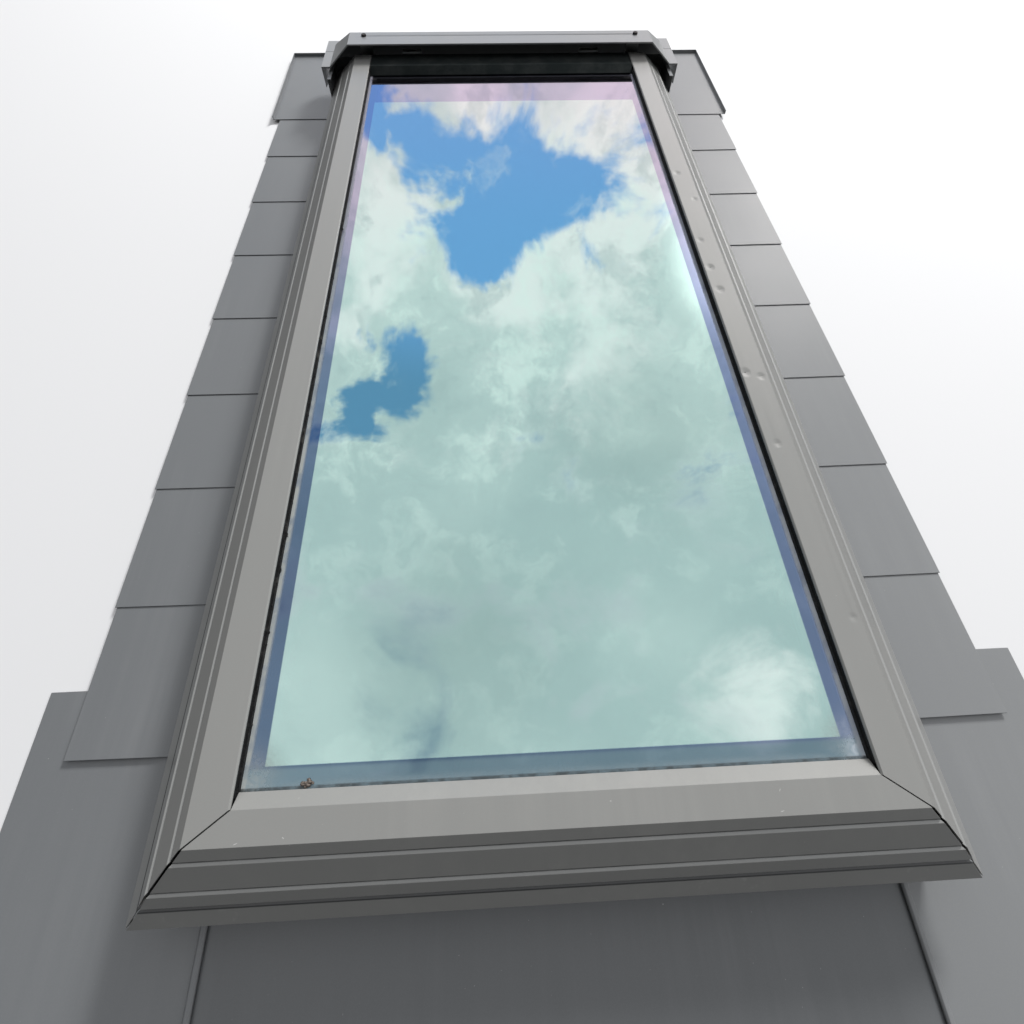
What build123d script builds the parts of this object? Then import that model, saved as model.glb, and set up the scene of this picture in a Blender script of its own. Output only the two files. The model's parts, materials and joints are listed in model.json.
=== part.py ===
from build123d import *
import os
from math import atan2, degrees, hypot

# Axes: X runs across the roof, +Y up the slope and +Z out of the roof. Z = 0 is the roof deck.
# The origin is the middle of the wooden frame's base. All sizes are in millimetres.

# Wooden outer frame
frame_width = 546.0
frame_length = 1170.0
frame_wall = 18.0
frame_height = 47.0
ledge_width = 16.0
ledge_height = 27.0
lining_groove_width = 13.0
lining_groove_depth = 8.0
lining_groove_lift = 7.0

# Wooden sash
sash_side_gap = 2.0
sash_head_gap = 4.0
sash_lift = 2.5
glass_seat = 17.0
rebate_gap = 3.0
inner_face_gap = 1.0
shoulder_setback = 1.8

# Sealed glass unit
pane = 4.0
cavity = 14.5
spacer_width = 13.5
spacer_show = 14.5

# Folded aluminium sheet
sheet = 1.0
hem = 4.0
lip_gap = 0.3
mitre_gap = 1.4
mitre_slope_gap = 2.6

# Sash cladding: top face, two narrow ledges and three sloping faces, then a lower edge
cladding_rise = 8.3
side_flat = 26.3
sill_flat = 20.3
sill_bevel_run = 10.0
bevel_lift = 1.3
upper_face_run = 6.6
upper_face_drop = 4.7
step_run = 0.6
step_drop = 1.3
ledge_run = 2.2
ledge_drop = 0.3
middle_face_run = 13.8
middle_face_drop = 10.9
lower_face_run = 6.6
inner_lip_drop = 2.0
glass_lap = 7.5

# Frame cladding below it
cover_overhang = 13.0
cladding_lap = 12.6
cover_land_inset = 10.6
drip_height = 38.0
reveal = 3.0
cover_inner_gap = 3.0

# Head cladding of the sash, under the hood
head_reveal = 40.0
head_bevel_run = 14.5
head_cover_back = 18.0

# Hood: a hipped sheet with flanges
ear_drop = 9.9
hood_rise = 28.3
hood_top_depth = 45.0
hood_back_run = 39.6
hood_side_run = 36.2
hood_flange = 13.9
hood_side_overhang = 25.5
hood_back_overhang = 43.5
hood_skirt = 27.9
hood_lip = 2.2
hood_seam = 56.2
hood_seam_gap = 0.4

# Arms that carry the hood
arm_width = 20.0
arm_thickness = 2.0
arm_inset = 48.8
arm_foot = 14.0
arm_foot_inset = 2.0
arm_reach = 24.0
hood_screw_setback = 31.0
screw_shank_r = 2.0
screw_hole_gap = 0.2
screw_head_r = 4.0
screw_head = 2.6
hood_screw_length = 9.0

# Flashing
flashing_sheet = 0.8
flashing_gap = 0.3
deck_gap = 0.4
apron_reach = 150.0
apron_inset = 21.0
seam_height = 4.0
seam_half_width = 2.5
seam_round = 1.2
wing_reach = 134.0
wing_run_up = 145.0
upstand_height = 36.0
step_pitch = 126.0
step_length = 178.0
step_leg = 111.0
step_upstand = 38.0
step_count = 8
step_first = 90.0
step_lap_clearance = 1.1
head_pan_reach = 163.0
head_pan_side = 110.0
head_web_gap = 14.2
head_web_height = 60.2
head_web_reach = 25.0
head_web_hem = 6.0
head_pan_hem = 5.0

# Deck brackets
bracket_width = 60.0
bracket_leg = 46.0
bracket_rise = 28.0
bracket_thickness = 2.0
bracket_end_inset = 185.0
bracket_hole_r = 3.0
bracket_hole_out = 30.0
bracket_hole_spacing = 36.0
bracket_screw_lift = 18.0
bracket_screw_spacing = 34.0

# Countersunk screws
screw_length = 14.0
countersink = 2.0
hinge_screw_spacing = 40.0
leaf_screw_spacing = 32.0
leaf_screw_lift = 8.0

# Hinges
hinge_arm_spacing = 74.2
hinge_axis_inset = 14.0
hinge_axis_lift = 23.0
hinge_base_length = 52.0
hinge_base_inset = 1.0
hinge_plate = 2.5
hinge_lug = 4.0
hinge_knuckle = 19.0
hinge_knuckle_gap = 0.5
hinge_lug_r = 5.0
hinge_knuckle_r = 4.6
hinge_pin_r = 3.0
pin_running_gap = 0.05
pin_end = 2.0
pin_head_r = 4.5
pin_head = 1.5
hinge_leaf_width = 46.0

# Chain operator and its crank eye
operator_length = 320.0
operator_depth = 29.0
operator_height = 23.0
operator_base = 2.0
operator_round = 5.0
chain_slot_length = 18.0
chain_slot_width = 12.0
chain_slot_depth = 13.0
chain_slot_inset = 9.0
crank_r = 5.0
crank_socket = 9.0
crank_reach = 8.0
crank_collar_r = 7.0
crank_collar = 3.0
crank_eye_length = 17.0
crank_eye_width = 15.0
crank_eye_thickness = 5.0
crank_eye_hole_r = 4.0
keeper_length = 60.0
keeper_width = 22.0
keeper_thickness = 2.0
chain_link_r = 3.6
chain_link_width = 5.0
chain_link_drop = 6.0
chain_link_pitch = 5.0
chain_cheek_r = 4.2
chain_pin_r = 1.5

# Seals and blocks
seal_width = 8.0
seal_inset = 6.0
seal_clearance = 0.3
gasket_show = 1.0
gasket_lip = 2.2
gasket_taper = 0.4
block_length = 60.0
block_station = 130.0

# Worked out from the sizes above
half_width = frame_width / 2
half_length = frame_length / 2
bracket_station = half_length - bracket_end_inset
hinge_station = half_width - arm_inset - hinge_arm_spacing
apron_half_width = half_width - apron_inset
edge_x = half_width + cover_overhang
edge_y = half_length + cover_overhang
sash_base = ledge_height + sash_lift
glass_base = sash_base + glass_seat
glass_top = glass_base + pane + cavity + pane
cover_top = glass_top + cladding_rise
frame_cover_top = frame_height + sheet
cover_edge = frame_cover_top + reveal
ladder_run = lower_face_run + ledge_run + step_run + middle_face_run + ledge_run + step_run + upper_face_run
flat_outer = cladding_lap + ladder_run
side_inner = flat_outer + side_flat
bevel_start = flat_outer + sill_flat
sill_inner = bevel_start + sill_bevel_run
sash_outer_x = half_width - frame_wall - sash_side_gap
sash_sill_y = -(half_length - frame_wall - sash_side_gap)
sash_head_y = half_length - frame_wall - sash_head_gap
glass_x = edge_x - side_inner + glass_lap
glass_sill_y = -(edge_y - sill_inner + glass_lap)
hood_back_y = half_length + hood_back_overhang
hip_back_y = hood_back_y - hood_flange
hood_top_back_y = hip_back_y - hood_back_run
hood_front_y = hood_top_back_y - hood_top_depth
hood_seam_y = hood_front_y + hood_seam
hood_x = half_width + hood_side_overhang
hip_x = hood_x - hood_flange
hood_top_x = hip_x - hood_side_run
ear_top = cover_top - ear_drop
hood_top = ear_top + hood_rise
skirt_base = ear_top - hood_skirt
head_inner_y = hood_front_y - head_reveal
glass_head_y = head_inner_y + glass_lap
vision_x = edge_x - side_inner - spacer_show
vision_sill_y = -(edge_y - sill_inner - spacer_show)
vision_head_y = head_inner_y - spacer_show
inner_x = vision_x - inner_face_gap
inner_sill_y = vision_sill_y + inner_face_gap
inner_head_y = vision_head_y - inner_face_gap
wood_top = cover_top - sheet
shoulder_x = edge_x - flat_outer - shoulder_setback
shoulder_y = -(edge_y - flat_outer - shoulder_setback)
shoulder_drop = (sash_outer_x - shoulder_x) * middle_face_drop / middle_face_run
rebate_x = glass_x + rebate_gap
rebate_sill_y = glass_sill_y - rebate_gap
rebate_head_y = glass_head_y + rebate_gap
head_cover_end = sash_head_y - head_cover_back
opening_x = half_width - frame_wall - ledge_width
opening_y = half_length - frame_wall - ledge_width
hinge_axis_y = half_length - hinge_axis_inset
hinge_axis_z = frame_height + hinge_axis_lift
tall = hood_top * 2


def prism_x(points, x0, x1):
    """A closed outline of (y, z) points, run along X."""
    outline = Wire.make_polygon([(x0, y, z) for y, z in points])
    return extrude(Face(outline), amount=x1 - x0, dir=(1, 0, 0))


def prism_y(points, y0, y1):
    """A closed outline of (x, z) points, run along Y."""
    outline = Wire.make_polygon([(x, y0, z) for x, z in points])
    return extrude(Face(outline), amount=y1 - y0, dir=(0, 1, 0))


def prism_z(points, z0, z1):
    """A closed outline of (x, y) points, run along Z."""
    outline = Wire.make_polygon([(x, y, z0) for x, y in points])
    return extrude(Face(outline), amount=z1 - z0, dir=(0, 0, 1))


def block(x0, x1, y0, y1, z0, z1):
    """A rectangular block between two corners."""
    return prism_z([(x0, y0), (x1, y0), (x1, y1), (x0, y1)], z0, z1)


def rod_x(x0, x1, y, z, radius):
    """A round bar along X."""
    disc = Plane((x0, y, z), x_dir=(0, 1, 0), z_dir=(1, 0, 0)) * Circle(radius)
    return extrude(disc, amount=x1 - x0)


def rod_y(y0, y1, x, z, radius):
    """A round bar along Y."""
    disc = Plane((x, y0, z), x_dir=(1, 0, 0), z_dir=(0, 1, 0)) * Circle(radius)
    return extrude(disc, amount=y1 - y0)


def rod_z(z0, z1, x, y, radius):
    """A round bar along Z."""
    disc = Plane((x, y, z0)) * Circle(radius)
    return extrude(disc, amount=z1 - z0)


def countersunk(place, gap=0):
    """A screw with its head flush in the face at place, driven along the place's Z axis."""
    head = Cone(screw_head_r + gap, screw_shank_r + gap, countersink)
    shank = Cylinder(screw_shank_r + gap, screw_length)
    return place * (Pos(0, 0, countersink / 2) * head + Pos(0, 0, screw_length / 2) * shank)


def unit(start, end):
    """The direction from one point to the next."""
    length = hypot(end[0] - start[0], end[1] - start[1])
    return ((end[0] - start[0]) / length, (end[1] - start[1]) / length)


def folded(points, thickness):
    """The closed section of a sheet folded along points, with its thickness to the right of the path."""
    ways = [unit(a, b) for a, b in zip(points, points[1:])]
    ways = [ways[0]] + ways + [ways[-1]]
    inner = []
    for (px, pz), (ax, az), (bx, bz) in zip(points, ways, ways[1:]):
        scale = thickness / (1 + ax * bx + az * bz)
        inner.append((px + (az + bz) * scale, pz - (ax + bx) * scale))
    return list(points) + inner[::-1]


def mirrored(part):
    """The same piece on the other side of the skylight."""
    return mirror(part, about=Plane.YZ)


def both_sides(make):
    """A left and a right copy of a piece that is drawn on the +X side."""
    right = make()
    return mirrored(right), right


def group(parts):
    """Separate solids that share one node."""
    return Compound([solid for part in parts for solid in part.solids()])


def side_section(points):
    """Points given by their distance in from the outer edge, set out on the +X side."""
    return [(edge_x - inset, z) for inset, z in points]


def sill_section(points):
    """Points given by their distance in from the outer edge, set out at the lower end."""
    return [(-(edge_y - inset), z) for inset, z in points]


def ladder():
    """The stepped outside of the sash cladding, from the top face down to the hem."""
    points = [(flat_outer, cover_top)]

    def go(run, drop):
        inset, z = points[-1]
        points.append((inset - run, z - drop))

    go(upper_face_run, upper_face_drop)
    go(step_run, step_drop)
    go(ledge_run, ledge_drop)
    go(middle_face_run, middle_face_drop)
    go(step_run, step_drop)
    go(ledge_run, ledge_drop)
    points.append((cladding_lap, cover_edge))
    points.append((cladding_lap + hem, cover_edge))
    return points


def mitre_line(side):
    """The cut along one side of the cladding's +X lower corner joint: wider on the slopes than on the flat."""
    slope_shift = side * mitre_slope_gap / 2
    flat_shift = side * mitre_gap / 2
    corner = (edge_x + slope_shift, -edge_y)
    knee = (edge_x - flat_outer + slope_shift, -edge_y + flat_outer)
    shoulder = (edge_x - flat_outer + flat_shift, -edge_y + flat_outer)
    end = (edge_x - side_inner + flat_shift, -edge_y + bevel_start)
    return corner, knee, shoulder, end


def frame_side():
    """A side member of the frame: an outer wall, a ledge for the seal and a groove for the lining."""
    wall_x = half_width - frame_wall
    section = [
        (half_width, 0),
        (half_width, frame_height),
        (wall_x, frame_height),
        (wall_x, ledge_height),
        (opening_x, ledge_height),
        (opening_x, 0),
    ]
    member = prism_y(section, -half_length, half_length) - lining_groove()
    for station in (-bracket_station, bracket_station):
        for place in bracket_screw_places(station):
            member -= countersunk(place, pin_running_gap)
    return member


def lining_groove():
    """The groove round the inside of the frame that takes the edge of the room's lining."""
    return block(
        -opening_x - lining_groove_depth,
        opening_x + lining_groove_depth,
        -opening_y - lining_groove_depth,
        opening_y + lining_groove_depth,
        lining_groove_lift,
        lining_groove_lift + lining_groove_width,
    )


def frame_end(sign, screw_places=()):
    """The sill (sign -1) or head (sign +1) of the frame, fitted between the side members."""
    wall_y = half_length - frame_wall
    section = [
        (sign * half_length, 0),
        (sign * half_length, frame_height),
        (sign * wall_y, frame_height),
        (sign * wall_y, ledge_height),
        (sign * opening_y, ledge_height),
        (sign * opening_y, 0),
    ]
    member = prism_x(section, -half_width, half_width)
    side = frame_side()
    member = member - lining_groove() - side - mirrored(side)
    for place in screw_places:
        member -= countersunk(place, pin_running_gap)
    return member


def ring(x_in, x_out, y_low_in, y_low_out, y_high_in, y_high_out, z0, z1):
    """A flat rectangular loop."""
    outer = block(-x_out, x_out, y_low_out, y_high_out, z0, z1)
    return outer - block(-x_in, x_in, y_low_in, y_high_in, z0, z1)


def frame_seal():
    """The weather seal that lies on the frame's ledge under the sash."""
    x_out = half_width - frame_wall - seal_inset
    y_out = half_length - frame_wall - seal_inset
    x_in = x_out - seal_width
    y_in = y_out - seal_width
    return ring(x_in, x_out, -y_in, -y_out, y_in, y_out, ledge_height, sash_base - seal_clearance)


def frame_cover_points():
    """Frame cladding: a flat on the wood, a sloping drip face and a hem."""
    inner = cover_overhang + frame_wall + sash_side_gap - cover_inner_gap
    return [(inner, frame_cover_top), (cover_land_inset, frame_cover_top), (0, drip_height), (hem, drip_height)]


def frame_cover_side():
    """The fixed side cladding, mitred at its lower end and cut off flush with the wooden frame's head."""
    section = folded(side_section(frame_cover_points()), sheet)
    bar = prism_y(section, -edge_y, half_length)
    corner = (edge_x + mitre_gap / 2, -edge_y)
    far = (corner[0] - edge_x, corner[1] + edge_x)
    keep = prism_z([corner, (tall + edge_x, -edge_y), (tall + edge_x, edge_y), (0, edge_y), far], 0, tall)
    return bar & keep


def frame_cover_sill():
    """The fixed lower strip, mitred at both ends."""
    section = folded(sill_section(frame_cover_points()), -sheet)
    bar = prism_x(section, -edge_x, edge_x)
    corner = (edge_x - mitre_gap / 2, -edge_y)
    keep = [(-corner[0], corner[1]), corner, (0, corner[1] + corner[0])]
    return bar & prism_z(keep, 0, tall)


def sash_envelope():
    """The outer form of the wooden sash, with sloping shoulders under its cladding."""
    shoulder = wood_top - shoulder_drop
    across = [
        (sash_outer_x, sash_base),
        (sash_outer_x, shoulder),
        (shoulder_x, wood_top),
        (-shoulder_x, wood_top),
        (-sash_outer_x, shoulder),
        (-sash_outer_x, sash_base),
    ]
    along = [
        (sash_sill_y, sash_base),
        (sash_sill_y, shoulder),
        (shoulder_y, wood_top),
        (head_cover_end, wood_top),
        (sash_head_y, shoulder),
        (sash_head_y, sash_base),
    ]
    return prism_y(across, sash_sill_y, sash_head_y) & prism_x(along, -sash_outer_x, sash_outer_x)


def sash_side_bar():
    """A side rail's plain rebated bar, before its shoulders are cut."""
    section = [
        (sash_outer_x, sash_base),
        (sash_outer_x, wood_top),
        (rebate_x, wood_top),
        (rebate_x, glass_base),
        (inner_x, glass_base),
        (inner_x, sash_base),
    ]
    return prism_y(section, sash_sill_y, sash_head_y)


def sash_side():
    """A side rail of the sash with the rebate for the glass and sloping outer shoulders."""
    return sash_side_bar() & sash_envelope()


def sash_end(section):
    """A rail with the given section, fitted between the side rails."""
    side = sash_side_bar()
    return (prism_x(section, -rebate_x, rebate_x) - side - mirrored(side)) & sash_envelope()


def sash_sill():
    """The lower rail of the sash."""
    section = [
        (sash_sill_y, sash_base),
        (sash_sill_y, wood_top),
        (rebate_sill_y, wood_top),
        (rebate_sill_y, glass_base),
        (inner_sill_y, glass_base),
        (inner_sill_y, sash_base),
    ]
    return sash_end(section)


def sash_head():
    """The upper rail of the sash, with its edge cut away under the cladding's bevel."""
    section = [
        (sash_head_y, sash_base),
        (sash_head_y, wood_top),
        (head_inner_y + head_bevel_run + sheet, wood_top),
        (rebate_head_y, glass_top + gasket_lip),
        (rebate_head_y, glass_base),
        (inner_head_y, glass_base),
        (inner_head_y, sash_base),
    ]
    rail = sash_end(section)
    places = leaf_screw_places()
    for place in places + flipped(places):
        rail -= countersunk(place, pin_running_gap)
    return rail


def sash_cover_side():
    """Side cladding of the sash: inner lip, top face and stepped outside, mitred at the lower end."""
    points = [(side_inner, cover_top - inner_lip_drop), (side_inner, wood_top), (side_inner - sheet, cover_top)]
    section = folded(side_section(points + ladder()), sheet)
    bar = prism_y(section, -edge_y, head_cover_end)
    lip_x = edge_x - side_inner
    bar -= block(lip_x, rebate_x, head_inner_y, head_cover_end, glass_top, wood_top)
    corner, knee, shoulder, end = mitre_line(1)
    far_x = tall + edge_x
    keep = [corner, (far_x, -edge_y), (far_x, edge_y), (0, edge_y), (0, end[1]), end, shoulder, knee]
    return bar & prism_z(keep, 0, tall)


def sash_cover_sill():
    """Lower cladding of the sash, with a bevel that runs down to the glass."""
    bevel_end = (sill_inner, glass_top + bevel_lift)
    points = [bevel_end, (bevel_start, cover_top)] + ladder()
    section = folded(sill_section(points), -sheet)
    bar = prism_x(section, -edge_x, edge_x)
    corner, knee, shoulder, end = mitre_line(-1)
    tip = (end[0], -edge_y + sill_inner)
    half = [corner, knee, shoulder, end, tip]
    keep = half + [(-x, y) for x, y in half[::-1]]
    return bar & prism_z(keep, 0, tall)


def sash_cover_head():
    """Upper cladding of the sash, between the side covers, with a bevel down to the glass."""
    points = [
        (head_inner_y, glass_top + bevel_lift),
        (head_inner_y + head_bevel_run, cover_top),
        (head_cover_end, cover_top),
    ]
    half = edge_x - side_inner - mitre_gap
    return prism_x(folded(points, sheet), -half, half)


def pane_plate(base):
    """One sheet of glass, from its lower face up."""
    return block(-glass_x, glass_x, glass_sill_y, glass_head_y, base, base + pane)


def spacer_frame():
    """The bar that holds the two panes apart."""
    return ring(
        vision_x,
        vision_x + spacer_width,
        vision_sill_y,
        vision_sill_y - spacer_width,
        vision_head_y,
        vision_head_y + spacer_width,
        glass_base + pane,
        glass_base + pane + cavity,
    )


def edge_seal():
    """The sealant between the panes, outside the spacer."""
    return ring(
        vision_x + spacer_width,
        glass_x,
        vision_sill_y - spacer_width,
        glass_sill_y,
        vision_head_y + spacer_width,
        glass_head_y,
        glass_base + pane,
        glass_base + pane + cavity,
    )


def bevel_clearance(run):
    """How far in from a bevel's lower edge its underside clears the gasket's lip."""
    rise = cover_top - glass_top - bevel_lift
    underside = sheet * hypot(run, rise) / run
    return (gasket_lip - bevel_lift + underside) * run / rise + lip_gap


def glazing_gasket():
    """The rubber seal between the glass and the cladding: a thick bar under the covers and a thin lip."""
    lip_x = edge_x - side_inner - gasket_show
    lip_top = glass_top + gasket_lip
    face_x = edge_x - side_inner + sheet / 2
    face_top = cover_top - inner_lip_drop - lip_gap
    bar_x = edge_x - side_inner + 2 * sheet
    bar_out = rebate_x - sheet
    side = [
        (lip_x, glass_top),
        (lip_x + gasket_taper, lip_top),
        (face_x, lip_top),
        (face_x, face_top),
        (bar_x, face_top),
        (bar_x, wood_top),
        (bar_out, wood_top),
        (bar_out, glass_top),
    ]
    sill_out = rebate_sill_y + sheet
    sill_in = -edge_y + sill_inner - bevel_clearance(sill_bevel_run)
    head_in = head_inner_y + bevel_clearance(head_bevel_run)
    head_out = rebate_head_y - sheet
    bar = prism_y(side, sill_in, head_in)
    seal = bar + mirrored(bar)
    seal += block(-bar_out, bar_out, sill_out, sill_in, glass_top, lip_top)
    seal += block(-bar_out, bar_out, head_in, head_out, glass_top, lip_top)
    head_x = edge_x - side_inner - mitre_gap + lip_gap
    seal -= block(-head_x, head_x, head_inner_y - lip_gap, head_in, glass_top, lip_top)
    sill_x = edge_x - side_inner - mitre_gap / 2 + lip_gap
    return seal - block(-sill_x, sill_x, sill_in, -edge_y + sill_inner + lip_gap, glass_top, lip_top)


def setting_blocks():
    """Two blocks in the lower rebate that the glass unit stands on."""
    y0 = rebate_sill_y
    blocks = []
    for station in (-block_station, block_station):
        x0 = station - block_length / 2
        blocks.append(block(x0, x0 + block_length, y0, glass_sill_y, glass_base, glass_top - pane))
    return group(blocks)


def hip_solid(inset):
    """The hood's hipped shape, with its faces moved in by inset, open at the front."""
    back_slope = hypot(hood_rise, hood_back_run) / hood_rise
    side_slope = hypot(hood_rise, hood_side_run) / hood_rise
    back_shift = inset * back_slope
    side_shift = inset * side_slope
    top = hood_top - inset
    back_fall = inset * hood_back_run / hood_rise
    side_fall = inset * hood_side_run / hood_rise
    low = [
        (-hip_x + side_shift, hood_front_y),
        (hip_x - side_shift, hood_front_y),
        (hip_x - side_shift, hip_back_y - back_shift),
        (-hip_x + side_shift, hip_back_y - back_shift),
    ]
    top_x = hood_top_x - side_shift + side_fall
    top_y = hood_top_back_y - back_shift + back_fall
    high = [(-top_x, hood_front_y), (top_x, hood_front_y), (top_x, top_y), (-top_x, top_y)]
    lower = Face(Wire.make_polygon([(x, y, ear_top) for x, y in low]))
    upper = Face(Wire.make_polygon([(x, y, top) for x, y in high]))
    return loft([lower, upper])


def hood_front_lip():
    """The folded edge round the hood's front opening."""
    outer = [(-hip_x, ear_top), (-hood_top_x, hood_top), (hood_top_x, hood_top), (hip_x, ear_top)]
    section = folded(outer, hood_lip)
    lip = prism_y(section, hood_front_y, hood_front_y + sheet)
    return lip & block(-hip_x, hip_x, hood_front_y, hip_back_y, ear_top - sheet, hood_top)


def ear():
    """The hood's side flange: a flat top, a skirt and a small front lip."""
    flat = block(hip_x - sheet, hood_x, hood_front_y, hood_seam_y, ear_top - sheet, ear_top)
    skirt = block(hood_x - sheet, hood_x, hood_front_y, hood_seam_y, skirt_base, ear_top)
    lip = block(hip_x - sheet, hood_x, hood_front_y, hood_front_y + sheet, ear_top - hood_lip, ear_top)
    return flat + skirt + lip


def hood_screw_places():
    """Where the two screws stand on the hood's top plate."""
    y = hood_front_y + hood_screw_setback
    return [(-half_width + arm_inset, y), (half_width - arm_inset, y)]


def hood():
    """The hipped hood with its lip, ears and screw holes."""
    side = ear()
    shell = hip_solid(0) - hip_solid(sheet)
    body = shell + hood_front_lip() + side + mirrored(side)
    for x, y in hood_screw_places():
        body -= rod_z(ear_top, hood_top + sheet, x, y, screw_shank_r + screw_hole_gap)
    return body


def hood_rear_cover():
    """The U-shaped rear flange and skirt that the hood's back edges lie on."""
    y0 = hood_seam_y + hood_seam_gap
    inner_y = hip_back_y - hem
    inner_x0 = hip_x - hem
    plan = [
        (hood_x, y0),
        (hood_x, hood_back_y),
        (-hood_x, hood_back_y),
        (-hood_x, y0),
        (-inner_x0, y0),
        (-inner_x0, inner_y),
        (inner_x0, inner_y),
        (inner_x0, y0),
    ]
    flat = prism_z(plan, ear_top - sheet, ear_top)
    outer = block(-hood_x, hood_x, y0, hood_back_y, skirt_base, ear_top)
    inside = block(-hood_x + sheet, hood_x - sheet, y0, hood_back_y - sheet, skirt_base, ear_top)
    return flat + (outer - inside)


def hood_arm():
    """A strap bent like a Z, from the frame's head up to the underside of the hood's top."""
    x1 = half_width - arm_inset + arm_width / 2
    x0 = x1 - arm_width
    foot_y = half_length - arm_foot_inset
    riser_y = foot_y - arm_foot
    plate_z = hood_top - sheet
    foot_z = frame_height + arm_thickness
    path = [(riser_y - arm_reach, plate_z), (riser_y, plate_z), (riser_y, foot_z), (foot_y, foot_z)]
    strap = prism_x(folded(path, arm_thickness), x0, x1)
    x, y = hood_screw_places()[1]
    return strap - rod_z(frame_height, hood_top, x, y, screw_shank_r + screw_hole_gap)


def hood_screws():
    """Two round-headed screws through the hood into its arms."""
    screws = []
    for x, y in hood_screw_places():
        head = rod_z(hood_top, hood_top + screw_head, x, y, screw_head_r)
        head = fillet(head.edges().group_by(Axis.Z)[-1], screw_head / 2)
        screws.append(head + rod_z(hood_top - hood_screw_length, hood_top, x, y, screw_shank_r))
    return group(screws)


def seam_points(z):
    """A folded standing seam over the apron's raised edge, from the wing inwards."""
    top = z + seam_height
    outer = apron_half_width + seam_half_width
    inner = apron_half_width - seam_half_width
    return [
        (outer + sheet, z),
        (outer, z),
        (outer, top - seam_round),
        (outer - seam_round, top),
        (inner + seam_round, top),
        (inner, top - seam_round),
        (inner, z + sheet + flashing_gap),
    ]


def sill_apron():
    """The centre pan below the skylight, with an upstand behind the lower strip and raised sides."""
    z = deck_gap + flashing_sheet
    back = -half_length - flashing_gap
    front = -edge_y - apron_reach
    wall_y = back - flashing_sheet
    fold = [(wall_y, z + upstand_height), (wall_y, z), (front, z)]
    pan = prism_x(folded(fold, -flashing_sheet), -apron_half_width, apron_half_width)
    edge = apron_half_width - flashing_sheet / 2
    raised = z + seam_height - 2 * flashing_sheet - flashing_gap
    for side in (-1, 1):
        x0 = min(side * edge, side * (edge + flashing_sheet))
        pan += block(x0, x0 + flashing_sheet, front, wall_y, z - flashing_sheet, raised)
    return pan


def sill_wing():
    """The side part of the apron: flat wing, folded seam and an upstand beside the frame."""
    z = deck_gap + flashing_sheet
    front = -edge_y - apron_reach
    corner_y = -half_length - flashing_gap - flashing_sheet
    top_y = -half_length + wing_run_up
    wall_x = half_width + bracket_thickness + flashing_gap
    outer_x = edge_x + wing_reach
    seam_x = apron_half_width + seam_half_width
    plan = [
        (seam_x, front),
        (outer_x, front),
        (outer_x, top_y),
        (wall_x, top_y),
        (wall_x, corner_y),
        (seam_x, corner_y),
    ]
    flat = prism_z(plan, deck_gap, z)
    seam = prism_y(folded(seam_points(z), -flashing_sheet), front, corner_y)
    upstand = block(wall_x, wall_x + flashing_sheet, corner_y, top_y, deck_gap, z + upstand_height)
    return flat + seam + upstand


def step_flashing(index):
    """One bent side flashing of the +X side, leaning so that each laps over the one below it."""
    low_y = -half_length + step_first + index * step_pitch
    wall_x = half_width + bracket_thickness + flashing_gap
    base_z = bracket_thickness + flashing_gap
    lean = degrees(atan2(step_lap_clearance, step_pitch))
    path = [(0, step_upstand), (0, 0), (step_leg, 0)]
    angle = prism_y(folded(path, -flashing_sheet), -step_length, 0)
    turned = Rot(0, 0, lean) * (Rot(-lean, 0, 0) * angle)
    return Pos(wall_x, low_y + step_length, base_z) * turned


def head_flashing():
    """The pan above the skylight with its upstand and side returns, hemmed along the top."""
    last_step_top = -half_length + step_first + (step_count - 1) * step_pitch + step_length
    low_y = hood_front_y - head_web_reach
    lean_rise = max(0, last_step_top - low_y) * step_lap_clearance / step_pitch
    base = bracket_thickness + 2 * flashing_gap + flashing_sheet + lean_rise
    z = base + flashing_sheet
    web_x = half_width + head_web_gap + flashing_sheet
    back_y = half_length + flashing_gap
    top_y = half_length + head_pan_reach
    outer_x = web_x + head_pan_side
    plan = [
        (web_x - flashing_sheet, low_y),
        (outer_x, low_y),
        (outer_x, top_y),
        (-outer_x, top_y),
        (-outer_x, low_y),
        (-web_x + flashing_sheet, low_y),
        (-web_x + flashing_sheet, back_y),
        (web_x - flashing_sheet, back_y),
    ]
    pan = prism_z(plan, base, z)
    inside = web_x - flashing_sheet
    outer = block(-web_x, web_x, low_y, back_y + flashing_sheet, base, head_web_height)
    webs = outer - block(-inside, inside, low_y, back_y, base, head_web_height)
    hem_z = head_web_height - flashing_sheet
    hem_inner = web_x - head_web_hem
    hems = block(hem_inner, web_x, low_y, back_y, hem_z, head_web_height)
    lips = block(outer_x - flashing_sheet, outer_x, low_y, top_y, base, z + head_pan_hem)
    back_lip = block(-outer_x, outer_x, top_y - flashing_sheet, top_y, base, z + head_pan_hem)
    return pan + webs + hems + mirrored(hems) + lips + mirrored(lips) + back_lip


def deck_bracket(station):
    """A mounting angle on the +X side: one leg on the frame, one on the deck, with rounded deck corners."""
    y0 = station - bracket_width / 2
    y1 = station + bracket_width / 2
    out_x = half_width + bracket_leg
    foot = block(half_width, out_x, y0, y1, 0, bracket_thickness)
    corners = [edge for edge in foot.edges().filter_by(Axis.Z) if edge.center().X > half_width + 1]
    foot = fillet(corners, 2 * bracket_hole_r)
    leg = block(half_width, half_width + bracket_thickness, y0, y1, 0, bracket_rise)
    angle = foot + leg
    for side in (-1, 1):
        y = station + side * bracket_hole_spacing / 2
        angle -= rod_z(0, bracket_thickness, half_width + bracket_hole_out, y, bracket_hole_r)
    for place in bracket_screw_places(station):
        angle -= countersunk(place, screw_hole_gap)
    return angle


def deck_brackets():
    """All four mounting angles."""
    right = [deck_bracket(side * bracket_station) for side in (-1, 1)]
    return group(right + [mirrored(bracket) for bracket in right])


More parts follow.
